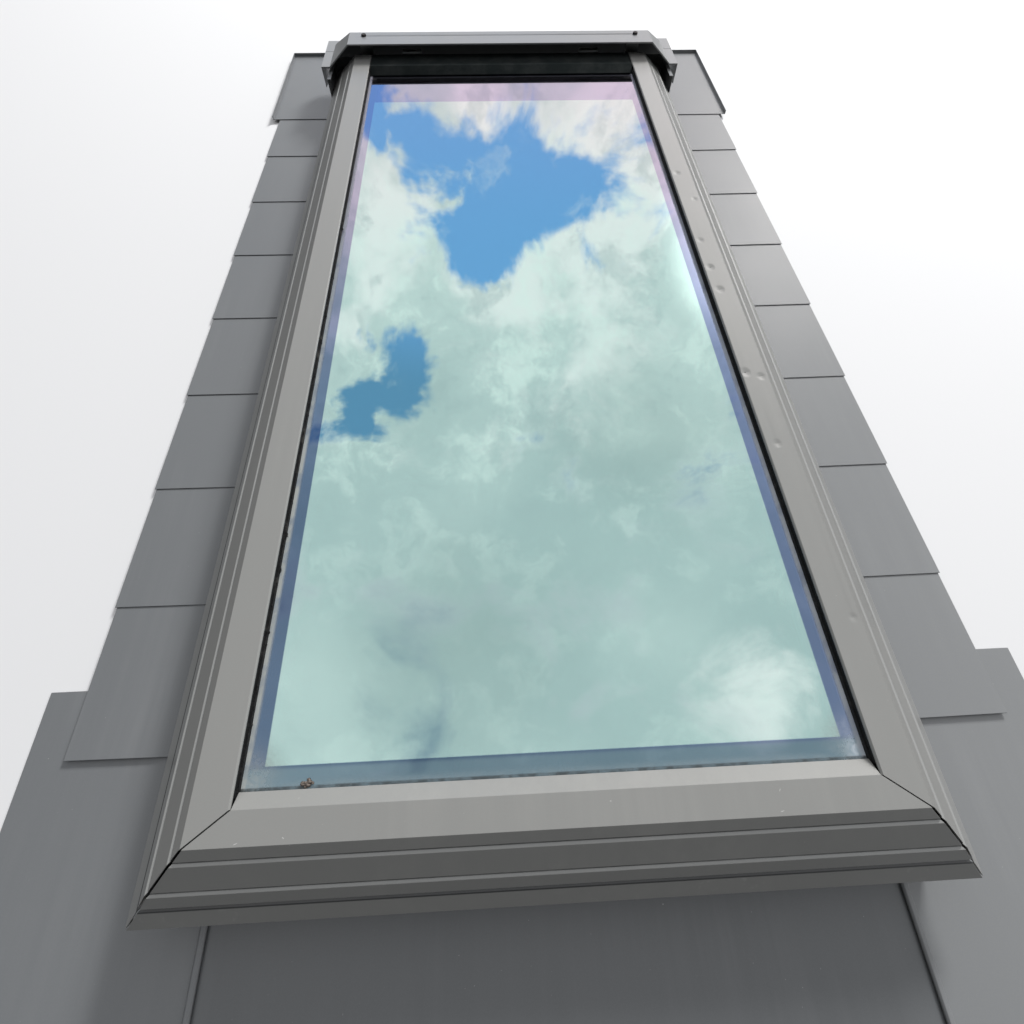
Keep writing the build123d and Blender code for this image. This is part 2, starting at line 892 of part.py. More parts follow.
def bracket_screw_places(station):
    """Where the screws of the +X side's bracket at one station enter the frame."""
    face = half_width + bracket_thickness
    ways = [station - bracket_screw_spacing / 2, station + bracket_screw_spacing / 2]
    return [Plane((face, y, bracket_screw_lift), z_dir=(-1, 0, 0)) for y in ways]


def bracket_screws():
    """The screws that hold the brackets to the frame."""
    places = bracket_screw_places(-bracket_station) + bracket_screw_places(bracket_station)
    right = [countersunk(place) for place in places]
    return group(right + [mirrored(screw) for screw in right])


def hinge_screw_places():
    """Where the right hinge's screws enter the frame's head."""
    y = half_length - frame_wall / 2
    top = frame_height + hinge_plate
    ways = [hinge_station - hinge_screw_spacing / 2, hinge_station + hinge_screw_spacing / 2]
    return [Plane((x, y, top), z_dir=(0, 0, -1)) for x in ways]


def leaf_screw_places():
    """Where the right leaf's screws enter the sash's head rail."""
    face = sash_head_y + hinge_plate
    z = frame_height - hinge_plate + leaf_screw_lift
    ways = [hinge_station - leaf_screw_spacing / 2, hinge_station + leaf_screw_spacing / 2]
    return [Plane((x, face, z), z_dir=(0, -1, 0)) for x in ways]


def flipped(places):
    """The same places on the -X side."""
    return [Plane((-p.origin.X, p.origin.Y, p.origin.Z), z_dir=p.z_dir) for p in places]


def hinge_screws():
    """The screws of the frame's hinge brackets."""
    places = hinge_screw_places()
    return group([countersunk(place) for place in places + flipped(places)])


def leaf_screws():
    """The screws of the sash's hinge leaves."""
    places = leaf_screw_places()
    return group([countersunk(place) for place in places + flipped(places)])


def hinge_bracket():
    """The frame's half of a hinge: a base on the head member and two lugs."""
    half = hinge_base_length / 2
    base_y0 = half_length - frame_wall + hinge_base_inset
    base = block(
        hinge_station - half,
        hinge_station + half,
        base_y0,
        half_length - hinge_base_inset,
        frame_height,
        frame_height + hinge_plate,
    )
    lug_in = hinge_knuckle / 2 + hinge_knuckle_gap
    body = base
    for x0 in (hinge_station - lug_in - hinge_lug, hinge_station + lug_in):
        x1 = x0 + hinge_lug
        neck = block(x0, x1, hinge_axis_y - hinge_lug_r, hinge_axis_y + hinge_lug_r, frame_height, hinge_axis_z)
        body += neck + rod_x(x0, x1, hinge_axis_y, hinge_axis_z, hinge_lug_r)
    bore = rod_x(
        hinge_station - half,
        hinge_station + half,
        hinge_axis_y,
        hinge_axis_z,
        hinge_pin_r + pin_running_gap,
    )
    body -= bore
    for place in hinge_screw_places():
        body -= countersunk(place, screw_hole_gap)
    return body


def hinge_leaf():
    """The sash's half of a hinge: a plate on the head rail with a knuckle between the lugs."""
    half = hinge_leaf_width / 2
    knuckle = hinge_knuckle / 2
    plate = block(
        hinge_station - half,
        hinge_station + half,
        sash_head_y,
        sash_head_y + hinge_plate,
        frame_height - hinge_plate,
        wood_top - shoulder_drop - hinge_plate,
    )
    tab = block(
        hinge_station - knuckle,
        hinge_station + knuckle,
        sash_head_y,
        hinge_axis_y,
        hinge_axis_z - hinge_knuckle_r,
        hinge_axis_z - hinge_knuckle_r + hinge_plate,
    )
    riser = block(
        hinge_station - knuckle,
        hinge_station + knuckle,
        sash_head_y,
        sash_head_y + hinge_plate,
        frame_height - hinge_plate,
        hinge_axis_z - hinge_knuckle_r + hinge_plate,
    )
    barrel = rod_x(
        hinge_station - knuckle,
        hinge_station + knuckle,
        hinge_axis_y,
        hinge_axis_z,
        hinge_knuckle_r,
    )
    bore = rod_x(
        hinge_station - half,
        hinge_station + half,
        hinge_axis_y,
        hinge_axis_z,
        hinge_pin_r + pin_running_gap,
    )
    body = plate + riser + tab + barrel - bore
    for place in leaf_screw_places():
        body -= countersunk(place, screw_hole_gap)
    return body


def hinge_pins():
    """A headed pin through each hinge."""
    reach = hinge_knuckle / 2 + hinge_knuckle_gap + hinge_lug + pin_end
    head_x = hinge_station + reach - pin_end + hinge_knuckle_gap
    pin = rod_x(hinge_station - reach, head_x, hinge_axis_y, hinge_axis_z, hinge_pin_r)
    pin += rod_x(head_x, head_x + pin_head, hinge_axis_y, hinge_axis_z, pin_head_r)
    return group([pin, mirrored(pin)])


def operator_axis():
    """The crank's place: its height above the deck and where it leaves the housing."""
    return operator_base + operator_height / 2, -opening_y + operator_depth


def operator_housing():
    """The closed housing that stores the push chain, screwed to the inside of the frame's sill."""
    half = operator_length / 2
    y0 = -opening_y
    body = block(-half, half, y0, y0 + operator_depth, operator_base, operator_base + operator_height)
    inner_edges = [edge for edge in body.edges() if edge.center().Y > y0 + operator_depth - 1]
    body = fillet(inner_edges, operator_round)
    slot_y = y0 + chain_slot_inset
    slot_z = operator_base + operator_height - chain_slot_depth
    slot_half = chain_slot_length / 2
    body -= block(-slot_half, slot_half, slot_y, slot_y + chain_slot_width, slot_z, tall)
    z, face_y = operator_axis()
    return body - rod_y(face_y - crank_socket, face_y, 0, z, crank_r + pin_running_gap)


def crank_eye():
    """The spindle that a crank rod hooks into: shaft, collar and flat eye."""
    z, face_y = operator_axis()
    shaft_y = face_y + crank_reach
    eye_y = shaft_y + crank_eye_length
    shaft = rod_y(face_y - crank_socket + seal_clearance, shaft_y, 0, z, crank_r)
    collar = rod_y(face_y + seal_clearance, face_y + seal_clearance + crank_collar, 0, z, crank_collar_r)
    half = crank_eye_width / 2
    z0 = z - crank_eye_thickness / 2
    eye = block(-half, half, shaft_y - crank_eye_thickness, eye_y - half, z0, z0 + crank_eye_thickness)
    eye += rod_z(z0, z0 + crank_eye_thickness, 0, eye_y - half, half)
    return shaft + collar + eye - rod_z(z0, z0 + crank_eye_thickness, 0, eye_y - half, crank_eye_hole_r)


def chain_y():
    """Where the chain leaves the housing."""
    return -opening_y + chain_slot_inset + chain_slot_width / 2


def chain_pin_z():
    """The height of the pin that joins the chain to its keeper."""
    return sash_base - keeper_thickness - chain_link_drop


def chain_keeper():
    """The plate under the sash's lower rail, with two cheeks and the pin that hold the chain."""
    y = chain_y()
    half = keeper_length / 2
    plate_z = sash_base - keeper_thickness
    z = chain_pin_z()
    keeper = block(-half, half, y - keeper_width / 2, y + keeper_width / 2, plate_z, sash_base)
    cheek_x = chain_link_width / 2 + seal_clearance
    for x0 in (cheek_x, -cheek_x - keeper_thickness):
        x1 = x0 + keeper_thickness
        keeper += block(x0, x1, y - chain_cheek_r, y + chain_cheek_r, z, plate_z)
        keeper += rod_x(x0, x1, y, z, chain_cheek_r)
    return keeper + rod_x(-cheek_x, cheek_x, y, z, chain_pin_r)


def chain_end_link():
    """The chain's last link, which turns on the keeper's pin and hangs into the housing's slot."""
    y = chain_y()
    z = chain_pin_z()
    half = chain_link_width / 2
    tail_z = z - chain_link_pitch
    link = block(-half, half, y - chain_link_r, y + chain_link_r, tail_z, z)
    link += rod_x(-half, half, y, z, chain_link_r)
    link += rod_x(-half, half, y, tail_z, chain_link_r)
    return link - rod_x(-half, half, y, z, chain_pin_r + pin_running_gap)


def build():
    """Every node, by name."""
    nodes = {}

    def pair(name, make):
        nodes[f"{name}_left"], nodes[f"{name}_right"] = both_sides(make)

    pair("frame_side", frame_side)
    nodes["frame_sill"] = frame_end(-1)
    places = hinge_screw_places()
    nodes["frame_head"] = frame_end(1, places + flipped(places))
    nodes["frame_seal"] = frame_seal()
    pair("frame_cover", frame_cover_side)
    nodes["frame_cover_sill"] = frame_cover_sill()
    pair("sash_side", sash_side)
    nodes["sash_sill"] = sash_sill()
    nodes["sash_head"] = sash_head()
    pair("sash_cover", sash_cover_side)
    nodes["sash_cover_sill"] = sash_cover_sill()
    nodes["sash_cover_head"] = sash_cover_head()
    nodes["inner_pane"] = pane_plate(glass_base)
    nodes["outer_pane"] = pane_plate(glass_base + pane + cavity)
    nodes["spacer_frame"] = spacer_frame()
    nodes["edge_seal"] = edge_seal()
    nodes["glazing_gasket"] = glazing_gasket()
    nodes["setting_blocks"] = setting_blocks()
    nodes["hood"] = hood()
    nodes["hood_rear_cover"] = hood_rear_cover()
    pair("hood_arm", hood_arm)
    nodes["hood_screws"] = hood_screws()
    nodes["sill_apron"] = sill_apron()
    pair("sill_wing", sill_wing)
    for index in range(step_count):
        right = step_flashing(index)
        nodes[f"step_flashing_left_{index + 1}"] = mirrored(right)
        nodes[f"step_flashing_right_{index + 1}"] = right
    nodes["head_flashing"] = head_flashing()
    nodes["deck_brackets"] = deck_brackets()
    pair("hinge_bracket", hinge_bracket)
    pair("hinge_leaf", hinge_leaf)
    nodes["hinge_pins"] = hinge_pins()
    nodes["bracket_screws"] = bracket_screws()
    nodes["hinge_screws"] = hinge_screws()
    nodes["leaf_screws"] = leaf_screws()
    nodes["operator_housing"] = operator_housing()
    nodes["crank_eye"] = crank_eye()
    nodes["chain_keeper"] = chain_keeper()
    nodes["chain_end_link"] = chain_end_link()
    return nodes


os.makedirs("parts", exist_ok=True)
for name, shape in build().items():
    export_step(shape, f"parts/{name}.step")
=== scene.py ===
import json
import math
import random

import bmesh
import bpy
from mathutils import Matrix, Vector, noise


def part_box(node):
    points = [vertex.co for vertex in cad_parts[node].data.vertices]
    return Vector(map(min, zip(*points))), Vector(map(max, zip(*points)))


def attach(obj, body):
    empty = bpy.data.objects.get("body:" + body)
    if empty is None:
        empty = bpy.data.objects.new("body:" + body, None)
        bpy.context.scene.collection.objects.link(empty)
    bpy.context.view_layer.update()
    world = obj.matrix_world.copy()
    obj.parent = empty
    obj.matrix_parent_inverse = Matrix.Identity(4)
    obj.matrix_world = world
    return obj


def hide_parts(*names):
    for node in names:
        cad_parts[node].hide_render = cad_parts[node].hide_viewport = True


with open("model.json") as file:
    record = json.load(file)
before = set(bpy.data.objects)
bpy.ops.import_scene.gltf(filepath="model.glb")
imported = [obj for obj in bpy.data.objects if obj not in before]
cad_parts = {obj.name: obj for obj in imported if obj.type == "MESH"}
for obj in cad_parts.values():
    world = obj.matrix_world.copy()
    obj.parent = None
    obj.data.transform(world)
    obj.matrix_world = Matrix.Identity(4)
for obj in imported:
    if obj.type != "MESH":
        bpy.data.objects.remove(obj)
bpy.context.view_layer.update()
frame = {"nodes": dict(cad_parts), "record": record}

# Camera: where the photograph was taken from, in the skylight's own frame
CAMERA_PLACE = Vector((-0.03616, -0.52356, 0.45220))
CAMERA_AIM = Vector((0.03092958, 0.47101729, -0.88158158))
CAMERA_RIGHT = Vector((0.99882365, -0.04751975, 0.00965375))
FOCAL_PIXELS = 500.0
IMAGE_PIXELS = 1024.0
SENSOR_MM = 36.0

# The lamp: where its light comes from, how far away it stands, its side in metres and its watts
KEY_WAY = Vector((0.42, 0.75, 0.51)).normalized()
KEY_DISTANCE = 5.0
KEY_SIZE = 1.0
KEY_POWER = 275.0

# The studio's plain light: its middle level, how it grows along each axis, and its least level
ROOM_LEVEL = 0.03
ROOM_SLOPE = (0.26, 0.52, 0.68)
ROOM_LEAST = 0.01
ROOM_TINT = (0.99, 1.0, 1.03)

# Dents in the right cover's top face: X and Y in metres, radius and depth
DENTS = [
    (0.2229, 0.1831, 0.0060, 0.0007),
    (0.2334, 0.1232, 0.0045, 0.0005),
    (0.2220, 0.0391, 0.0050, 0.0006),
    (0.2223, -0.0111, 0.0060, 0.0008),
    (0.2241, -0.0492, 0.0060, 0.0008),
    (0.2195, -0.1735, 0.0060, 0.0008),
    (0.2336, -0.1795, 0.0050, 0.0006),
    (0.2256, -0.2614, 0.0050, 0.0006),
    (0.2350, -0.4260, 0.0040, 0.0005),
]

# Scratches and nicks in the lower cover's paint: X and Y, half length, half width and turn in degrees
SILL_MARKS = [
    (-0.2070, -0.5510, 0.0016, 0.00025, 20),
    (-0.1778, -0.5492, 0.0010, 0.00030, -35),
    (0.1415, -0.5500, 0.0016, 0.00025, 12),
    (0.1434, -0.5381, 0.0012, 0.00025, 60),
    (0.0310, -0.5390, 0.0008, 0.00030, 0),
]

# Blue gaps between the mirrored clouds: a direction from the skylight, how wide and how clear
SKY_GAPS = [
    ((0.026, 0.862, 0.505), 0.17, 1.0),
    ((-0.150, 0.918, 0.372), 0.085, 1.2),
    ((-0.070, 0.892, 0.447), 0.11, 1.0),
    ((0.120, 0.868, 0.482), 0.115, 0.9),
    ((0.005, 0.816, 0.577), 0.08, 0.9),
    ((-0.140, 0.902, 0.405), 0.075, 1.0),
    ((-0.225, 0.715, 0.662), 0.06, 0.8),
    ((-0.165, 0.670, 0.724), 0.13, 1.0),
    ((-0.250, 0.640, 0.728), 0.09, 0.95),
    ((-0.216, 0.155, 0.964), 0.13, 0.55),
    ((-0.153, 0.078, 0.985), 0.10, 0.62),
    ((0.483, 0.271, 0.833), 0.09, 0.38),
]

# Sunlit billows beside them
SKY_BILLOWS = [
    ((-0.151, 0.851, 0.503), 0.14, 1.0),
    ((-0.208, 0.780, 0.591), 0.14, 0.8),
    ((-0.251, 0.725, 0.641), 0.10, 0.9),
    ((0.197, 0.818, 0.541), 0.16, 1.0),
    ((0.252, 0.870, 0.420), 0.24, 1.2),
    ((-0.010, 0.925, 0.380), 0.10, 0.9),
    ((0.060, 0.777, 0.627), 0.18, 0.85),
    ((0.204, 0.700, 0.680), 0.20, 0.7),
    ((-0.100, 0.560, 0.820), 0.16, 0.5),
    ((0.468, 0.130, 0.874), 0.22, 0.6),
]

# Its broad grey patches
SKY_SHADES = [
    ((0.298, 0.556, 0.777), 0.24, 0.4),
    ((-0.085, 0.240, 0.967), 0.30, 0.5),
]

# The brightest part of the mirrored sky, low behind the upper right corner
LOW_GLOW = (0.50, 0.75, 0.44)
LOW_GLOW_RADIUS = 0.25
LOW_GLOW_COLOUR = (5.2, 5.0, 4.9)

# Colours of the mirrored sky
HIGH_BLUE = (0.21, 0.42, 0.80)
MIDDLE_BLUE = (0.15, 0.31, 0.52)
LOW_BLUE = (0.25, 0.31, 0.40)
CLOUD_GREY = ((0.56, 0.60, 0.62), (0.76, 0.76, 0.77))
CLOUD_SHINE = (1.06, 0.93, 0.95)
CLOUD_FLEECE = (1.0, 0.97, 0.96)
CLOUD_HOLLOW = (0.50, 0.53, 0.56)
CLOUD_SHADE = (0.42, 0.45, 0.46)
BEHIND_CAMERA = (0.09, 0.10, 0.11)
FAR_LEFT = (0.10, 0.12, 0.13)
LOW_DARK = (0.10, 0.11, 0.12)

# Where the blue changes and the clouds grow ragged, along the sky's Y
BLUE_RISE = (0.34, 0.58)
BLUE_TOP = (0.66, 0.80)

# Paint on the sheet metal, and the dust on it
COVER_PAINT = (0.288, 0.287, 0.272)
COVER_DUST = (0.352, 0.348, 0.328)
HOOD_PAINT = (0.275, 0.280, 0.280)
HOOD_DUST = (0.35, 0.35, 0.345)
HOOD_GLOSS = 0.34
# Painted shade: the apron's paint and dust are darker copies of the flashing's
SHADED_APRON_PAINT = (0.130, 0.136, 0.140)
SHADED_APRON_DUST = (0.19, 0.196, 0.20)
FLASHING_PAINT = (0.200, 0.207, 0.212)
FLASHING_DUST = (0.27, 0.276, 0.28)
FLASHING_GLOSS = 0.5
# Painted shade: the near black put on the inner faces of the hood and its rear cover, and its share
HOOD_SHADE = (0.008, 0.009, 0.009)
HOOD_SHADE_SHARE = 0.95

# The glass: its colour over the cavity, and its edge at the left, the right, the foot and the head
VIEW_TINTS = ((0.71, 0.97, 0.915), (0.84, 0.95, 0.93))
EDGE_TINTS = ((0.27, 0.42, 0.64), (0.40, 0.54, 0.86))
FOOT_TINTS = ((0.24, 0.40, 0.53), (0.44, 0.66, 0.78))
HEAD_TINT = (0.70, 0.66, 0.82)
# The haze's tone: dirt at the left, made paler at the right as painted light
HAZE_TINTS_DIRT_AND_LIT = ((0.42, 0.44, 0.42), (0.64, 0.69, 0.74))
SEAM_TINT = (0.03, 0.034, 0.034)
VIEW_SHINE = 0.86
GLASS_IOR = 1.52

# Across the part, from where to where: the spacer's and glass edge's tint turns, the haze turns paler
# beside the right gasket as painted light, the flashing goes from painted shade to painted light, the right
# top gets painted sheen
TINT_TURN_X = (-0.1, 0.19)
HAZE_LIGHT_TURN_X = (0.196, 0.207)
FLASHING_LIGHT_X = (-0.38, 0.42)
TOP_SHEEN_X = (0.19, 0.21)

# Along the part: the cladding's slopes get painted shade and its top a painted sheen, the glass's tints turn,
# its edge mirrors more, and the dirt beside the gasket fades
SLOPE_SHADE_Y = (-0.30, 0.12)
TOP_SHEEN_Y = (0.0, 0.40)
HEAD_TINT_Y = (-0.22, 0.30)
VIEW_TINT_Y = (0.0, 0.42)
LOW_SHINE_Y = (-0.42, -0.12)
HIGH_SHINE_Y = (-0.1, 0.35)
RIM_FADE_Y = (-0.30, 0.25)

# Shares of the glass's edge that mirror: low down, and half way up, and what the upper end adds
EDGE_SHINE_LOW = 0.50
EDGE_SHINE_MIDDLE = 0.64
EDGE_SHINE_MORE = 0.16

# On the glass, along Y: the dirty seam at the bevel's foot, the dust over it, the foot's band and its line
SEAM_Y = (-0.5212, -0.5200)
FOOT_DUST_Y = (-0.5215, -0.5150)
FOOT_BAND_Y = (-0.512, -0.506)
FOOT_LINE_Y = (-0.5105, -0.5080)
CORNER_DIRT_X = 0.2130
CORNER_DIRT_Y = -0.5180
CORNER_DIRT_RADIUS = 0.036

# Read from the part: the heights of the glass and of the cladding, and the spacer's two corners
nodes = frame["nodes"]
glass_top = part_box("outer_pane")[1].z
cover_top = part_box("sash_cover_right")[1].z
spacer_low, spacer_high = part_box("spacer_frame")

# The spacer's width, the head band's lower edge, the gasket's lip, the dirt beside it and where the wood's
# painted shade begins
SPACER_WIDTH = 0.0135
HEAD_BAND_Y = 0.4045
GASKET_LIP_X = 0.2135
GASKET_LIP_TOP = glass_top + 0.0022
RIM_DIRT_X = (GASKET_LIP_X - 0.0056, GASKET_LIP_X - 0.0022)
WOOD_SHADE_FROM_Z = 0.060
MASK_SOFT = 0.0004

# Where the sash cladding's flat top ends, and the heights of its two steps and ledges
FLAT_END_X = 0.2408
FLAT_END_Y = 0.5528
STEP_HEIGHTS = ((0.0713, 0.0726), (0.0588, 0.0601))
LEDGE_DROP = 0.0003
FRAME_COVER_TOP = 0.048
FOLD_SOFT = 0.0005

# The rounding of the sheets' edges, and how a flat top is told from the rest
SHEET_EDGE = 0.0004
EDGE_SEGMENTS = 2
SHARP_ANGLE = math.radians(14)
MERGE_GAP = 0.00001
FLAT_NORMAL = 0.99
TOP_SLACK = 0.0001

# How finely the dented cover is cut, and how far past a dent's radius
DENT_STEP = 0.0009
DENT_REACH = 1.3

# A dent's shape: how much less its length along Y counts, and its crease's depth, slope and width
DENT_SQUEEZE = 0.8
CREASE_DEPTH = 0.35
CREASE_SLOPE = 0.25
CREASE_WIDTH = 0.16

# The gasket's crumbs: how many, their draw, the stretches of Y they lie in and their half sizes
CRUMB_COUNT = 70
CRUMB_SEED = 7
CRUMB_STRETCHES = ((-0.50, -0.20), (-0.40, -0.30), (-0.20, 0.10))
CRUMB_X = (GASKET_LIP_X - 0.0009, GASKET_LIP_X + 0.0012)
CRUMB_SIZES = (0.0004, 0.0011)

# The moss: how many grains, their draw, its middle, its spread and their half sizes
TUFT_COUNT = 16
TUFT_SEED = 3
TUFT_X = -0.1697
TUFT_Y = -0.5197
TUFT_SPREAD = (0.0019, 0.0008)
TUFT_SIZES = (0.0006, 0.0013)

# How each rough grain's noise is shifted from the one before it
GRAIN_SHIFT = (7.31, 3.17, 5.03)

# The floor: half its side, how far under the part, and its tone for the camera and for other rays
FLOOR_HALF = 6.0
FLOOR_DROP = 0.0005
FLOOR_SEEN = (0.86, 0.86, 0.86)
FLOOR_THROWN = (0.16, 0.16, 0.16)
BACKDROP = (0.9, 0.9, 0.9)


class Shader:
    """A short way to write node materials."""

    def __init__(self, name, world=False):
        if world:
            self.owner = bpy.data.worlds.new(name)
        else:
            self.owner = bpy.data.materials.new(name)
        self.owner.use_nodes = True
        self.tree = self.owner.node_tree
        self.tree.nodes.clear()

    def node(self, kind, settings=None, **inputs):
        made = self.tree.nodes.new(kind)
        for key, value in (settings or {}).items():
            setattr(made, key, value)
        for key, value in inputs.items():
            self.feed(made, key.replace("_", " "), value)
        return made

    def feed(self, made, key, value):
        socket = made.inputs[int(key)] if key.isdigit() else made.inputs[key]
        if isinstance(value, bpy.types.NodeSocket):
            self.tree.links.new(value, socket)
        else:
            socket.default_value = value

    def math(self, operation, first, second=0.0, clamp=False):
        made = self.tree.nodes.new("ShaderNodeMath")
        made.operation = operation
        made.use_clamp = clamp
        self.feed(made, "0", first)
        self.feed(made, "1", second)
        return made.outputs[0]

    def most(self, values):
        """The largest of several values."""
        top = values[0]
        for value in values[1:]:
            top = self.math("MAXIMUM", top, value)
        return top

    def vector_math(self, operation, first, second):
        made = self.tree.nodes.new("ShaderNodeVectorMath")
        made.operation = operation
        self.feed(made, "0", first)
        self.feed(made, "1", second)
        return made

    def place(self):
        """The point's place in the skylight's frame, in metres."""
        return self.tree.nodes.new("ShaderNodeTexCoord").outputs["Object"]

    def axes(self):
        """The same place as separate X, Y and Z."""
        parts = self.node("ShaderNodeSeparateXYZ", Vector=self.place())
        return [parts.outputs[axis] for axis in "XYZ"]

    def scaled(self, x, y, z):
        return self.vector_math("MULTIPLY", self.place(), (x, y, z)).outputs[0]

    def noise(self, scale, detail=4.0, rough=0.55, vector=None, distortion=0.0):
        made = self.node(
            "ShaderNodeTexNoise",
            Vector=vector or self.place(),
            Scale=scale,
            Detail=detail,
            Roughness=rough,
            Distortion=distortion,
        )
        return made.outputs["Fac"]

    def ramp(self, value, low, high, to_low=0.0, to_high=1.0, smooth=True):
        made = self.tree.nodes.new("ShaderNodeMapRange")
        made.interpolation_type = "SMOOTHSTEP" if smooth else "LINEAR"
        self.feed(made, "0", value)
        for index, number in enumerate((low, high, to_low, to_high), 1):
            self.feed(made, str(index), number)
        return made.outputs[0]

    def mix(self, share, first, second):
        made = self.tree.nodes.new("ShaderNodeMix")
        made.data_type = "RGBA"
        self.feed(made, "0", share)
        self.feed(made, "6", colour(first))
        self.feed(made, "7", colour(second))
        return made.outputs[2]

    def bump(self, height, strength, distance, normal=None):
        made = self.node("ShaderNodeBump", Height=height, Strength=strength, Distance=distance)
        if normal:
            self.feed(made, "Normal", normal)
        return made.outputs[0]

    def surface(self, **inputs):
        principled = self.node("ShaderNodeBsdfPrincipled")
        for key, value in inputs.items():
            self.feed(principled, key.replace("_", " "), colour(value))
        output = self.tree.nodes.new("ShaderNodeOutputMaterial")
        self.tree.links.new(principled.outputs[0], output.inputs["Surface"])
        return self.owner


def colour(value):
    """A colour with its alpha, or the socket or number as it is."""
    if isinstance(value, tuple) and len(value) == 3:
        return (*value, 1.0)
    return value


def facing(shader):
    """The way that the surface faces, as separate X, Y and Z."""
    normal = shader.tree.nodes.new("ShaderNodeNewGeometry").outputs["Normal"]
    return shader.node("ShaderNodeSeparateXYZ", Vector=normal).outputs


def near(shader, point, radius, source=None):
    """1 at a point, falling smoothly to 0 at the radius."""
    gap = shader.vector_math("DISTANCE", source or shader.place(), point).outputs["Value"]
    return shader.ramp(gap, 0.0, radius, 1.0, 0.0)


def spots(shader, rows, source, grow=1.0):
    """The strongest of several soft spots, each given as a point, a radius and a share."""
    marks = [(near(shader, point, radius * grow, source), share) for point, radius, share in rows]
    return shader.most([shader.math("MULTIPLY", mark, share) for mark, share in marks])


def scratch(shader, x, y, long, wide, turn):
    """1 inside a short narrow mark in the top face."""
    made = shader.node(
        "ShaderNodeMapping",
        {"vector_type": "TEXTURE"},
        Vector=shader.place(),
        Location=(x, y, cover_top),
        Rotation=(0.0, 0.0, math.radians(turn)),
        Scale=(long, wide, 0.02),
    )
    reach = shader.vector_math("LENGTH", made.outputs[0], (0, 0, 0)).outputs["Value"]
    return shader.ramp(reach, 0.6, 1.0, 1.0, 0.0)


def band(shader, value, low, high, soft=0.0001):
    """1 between two values, with narrow soft ends."""
    rise = shader.ramp(value, low - soft, low + soft)
    return shader.math("MULTIPLY", rise, shader.ramp(value, high - soft, high + soft, 1.0, 0.0))


def step_lines(shader, tone):
    """Painted shade in the steps and on the slopes, painted highlights along the ledges and a painted sheen
    on the right top.
    """
    x, y, z = shader.axes()
    sides = shader.ramp(shader.math("ABSOLUTE", x), FLAT_END_X, FLAT_END_X + FOLD_SOFT)
    front = shader.ramp(shader.math("MULTIPLY", y, -1.0), FLAT_END_Y, FLAT_END_Y + FOLD_SOFT)
    outside = shader.math("MAXIMUM", sides, front)
    # Painted shade on the side slopes, growing toward the upper end
    shaded = shader.math("MULTIPLY", sides, shader.ramp(y, *SLOPE_SHADE_Y, 0.0, 0.24))
    tone = shader.mix(shaded, tone, (0.08, 0.08, 0.08))
    # Painted sheen: the right cover's flat top paler toward the upper end
    up = shader.ramp(y, *TOP_SHEEN_Y, 0.0, 0.3)
    sheen = shader.math("MULTIPLY", shader.ramp(x, *TOP_SHEEN_X), up)
    sheen = shader.math("MULTIPLY", sheen, shader.math("SUBTRACT", 1.0, sides))
    tone = shader.mix(sheen, tone, (0.62, 0.60, 0.57))
    # Painted shade: a dark line in each step of the side and front cladding
    steps = shader.most([band(shader, z, low, high) for low, high in STEP_HEIGHTS])
    ledges = shader.most([band(shader, z, low - LEDGE_DROP, low) for low, _ in STEP_HEIGHTS])
    broken = shader.ramp(shader.noise(45.0, 4.0, 0.6), 0.3, 0.6, 0.45, 0.85)
    step_shade = shader.math("MULTIPLY", shader.math("MULTIPLY", steps, outside), broken)
    tone = shader.mix(step_shade, tone, (0.03, 0.031, 0.03))
    # Painted highlight: a thin light line along each ledge
    ledge_highlight = shader.math("MULTIPLY", shader.math("MULTIPLY", ledges, outside), 0.3)
    return shader.mix(ledge_highlight, tone, (0.5, 0.51, 0.5))


def gap_dirt(shader, tone):
    """Scuffs on the frame cladding, and painted black shade on its flat top, under the sash's lower edge."""
    top = shader.ramp(shader.axes()[2], FRAME_COVER_TOP - 0.0009, FRAME_COVER_TOP - 0.0003)
    scuff = shader.ramp(shader.noise(120.0, 6.0, 0.7), 0.56, 0.72, 0.0, 0.35)
    patch = shader.ramp(shader.noise(13.0, 3.0, 0.6), 0.45, 0.62)
    tone = shader.mix(shader.math("MULTIPLY", scuff, patch), tone, (0.5, 0.5, 0.48))
    # Painted shade: the flat top in the gap under the sash cladding's edge is near black
    return shader.mix(shader.math("MULTIPLY", top, 0.93), tone, (0.012, 0.012, 0.012))


def bleached(shader, tone):
    """Flashing with painted shade toward the left and painted light toward the right."""
    side = shader.ramp(shader.axes()[0], *FLASHING_LIGHT_X, smooth=False)
    # Painted shade toward the left, painted light toward the right
    left_shade = shader.math("MULTIPLY", shader.math("SUBTRACT", 1.0, side), 0.22)
    tone = shader.mix(left_shade, tone, (0.08, 0.09, 0.10))
    return shader.mix(shader.math("MULTIPLY", side, 0.20), tone, (0.42, 0.42, 0.41))


def dark_inside(shader, tone):
    """The hood's inner faces, which look down: painted black shade."""
    down = shader.ramp(facing(shader)["Z"], -0.35, -0.1, 1.0, 0.0)
    return shader.mix(shader.math("MULTIPLY", down, HOOD_SHADE_SHARE), tone, HOOD_SHADE)


def dark_front(shader, tone):
    """The rear cover's inner faces, painted black shade like the hood's, also where they look down the roof.
    """
    back = shader.ramp(facing(shader)["Y"], -0.6, -0.3, 1.0, 0.0)
    tone = dark_inside(shader, tone)
    return shader.mix(shader.math("MULTIPLY", back, HOOD_SHADE_SHARE), tone, HOOD_SHADE)


def shaded_sheet():
    """The upper cover, under the hood: the same sheet, painted near black as the hood's shade."""
    s = Shader("cladding_paint_shaded")
    blotch = s.noise(30.0, 5.0, 0.65)
    grain = s.noise(900.0, 2.0, 0.6)
    tone = s.mix(s.ramp(blotch, 0.35, 0.7), (0.014, 0.018, 0.018), (0.03, 0.034, 0.033))
    normal = s.bump(grain, 0.3, 0.0003)
    return s.surface(Base_Color=tone, Roughness=0.85, Specular_IOR_Level=0.1, Normal=normal)


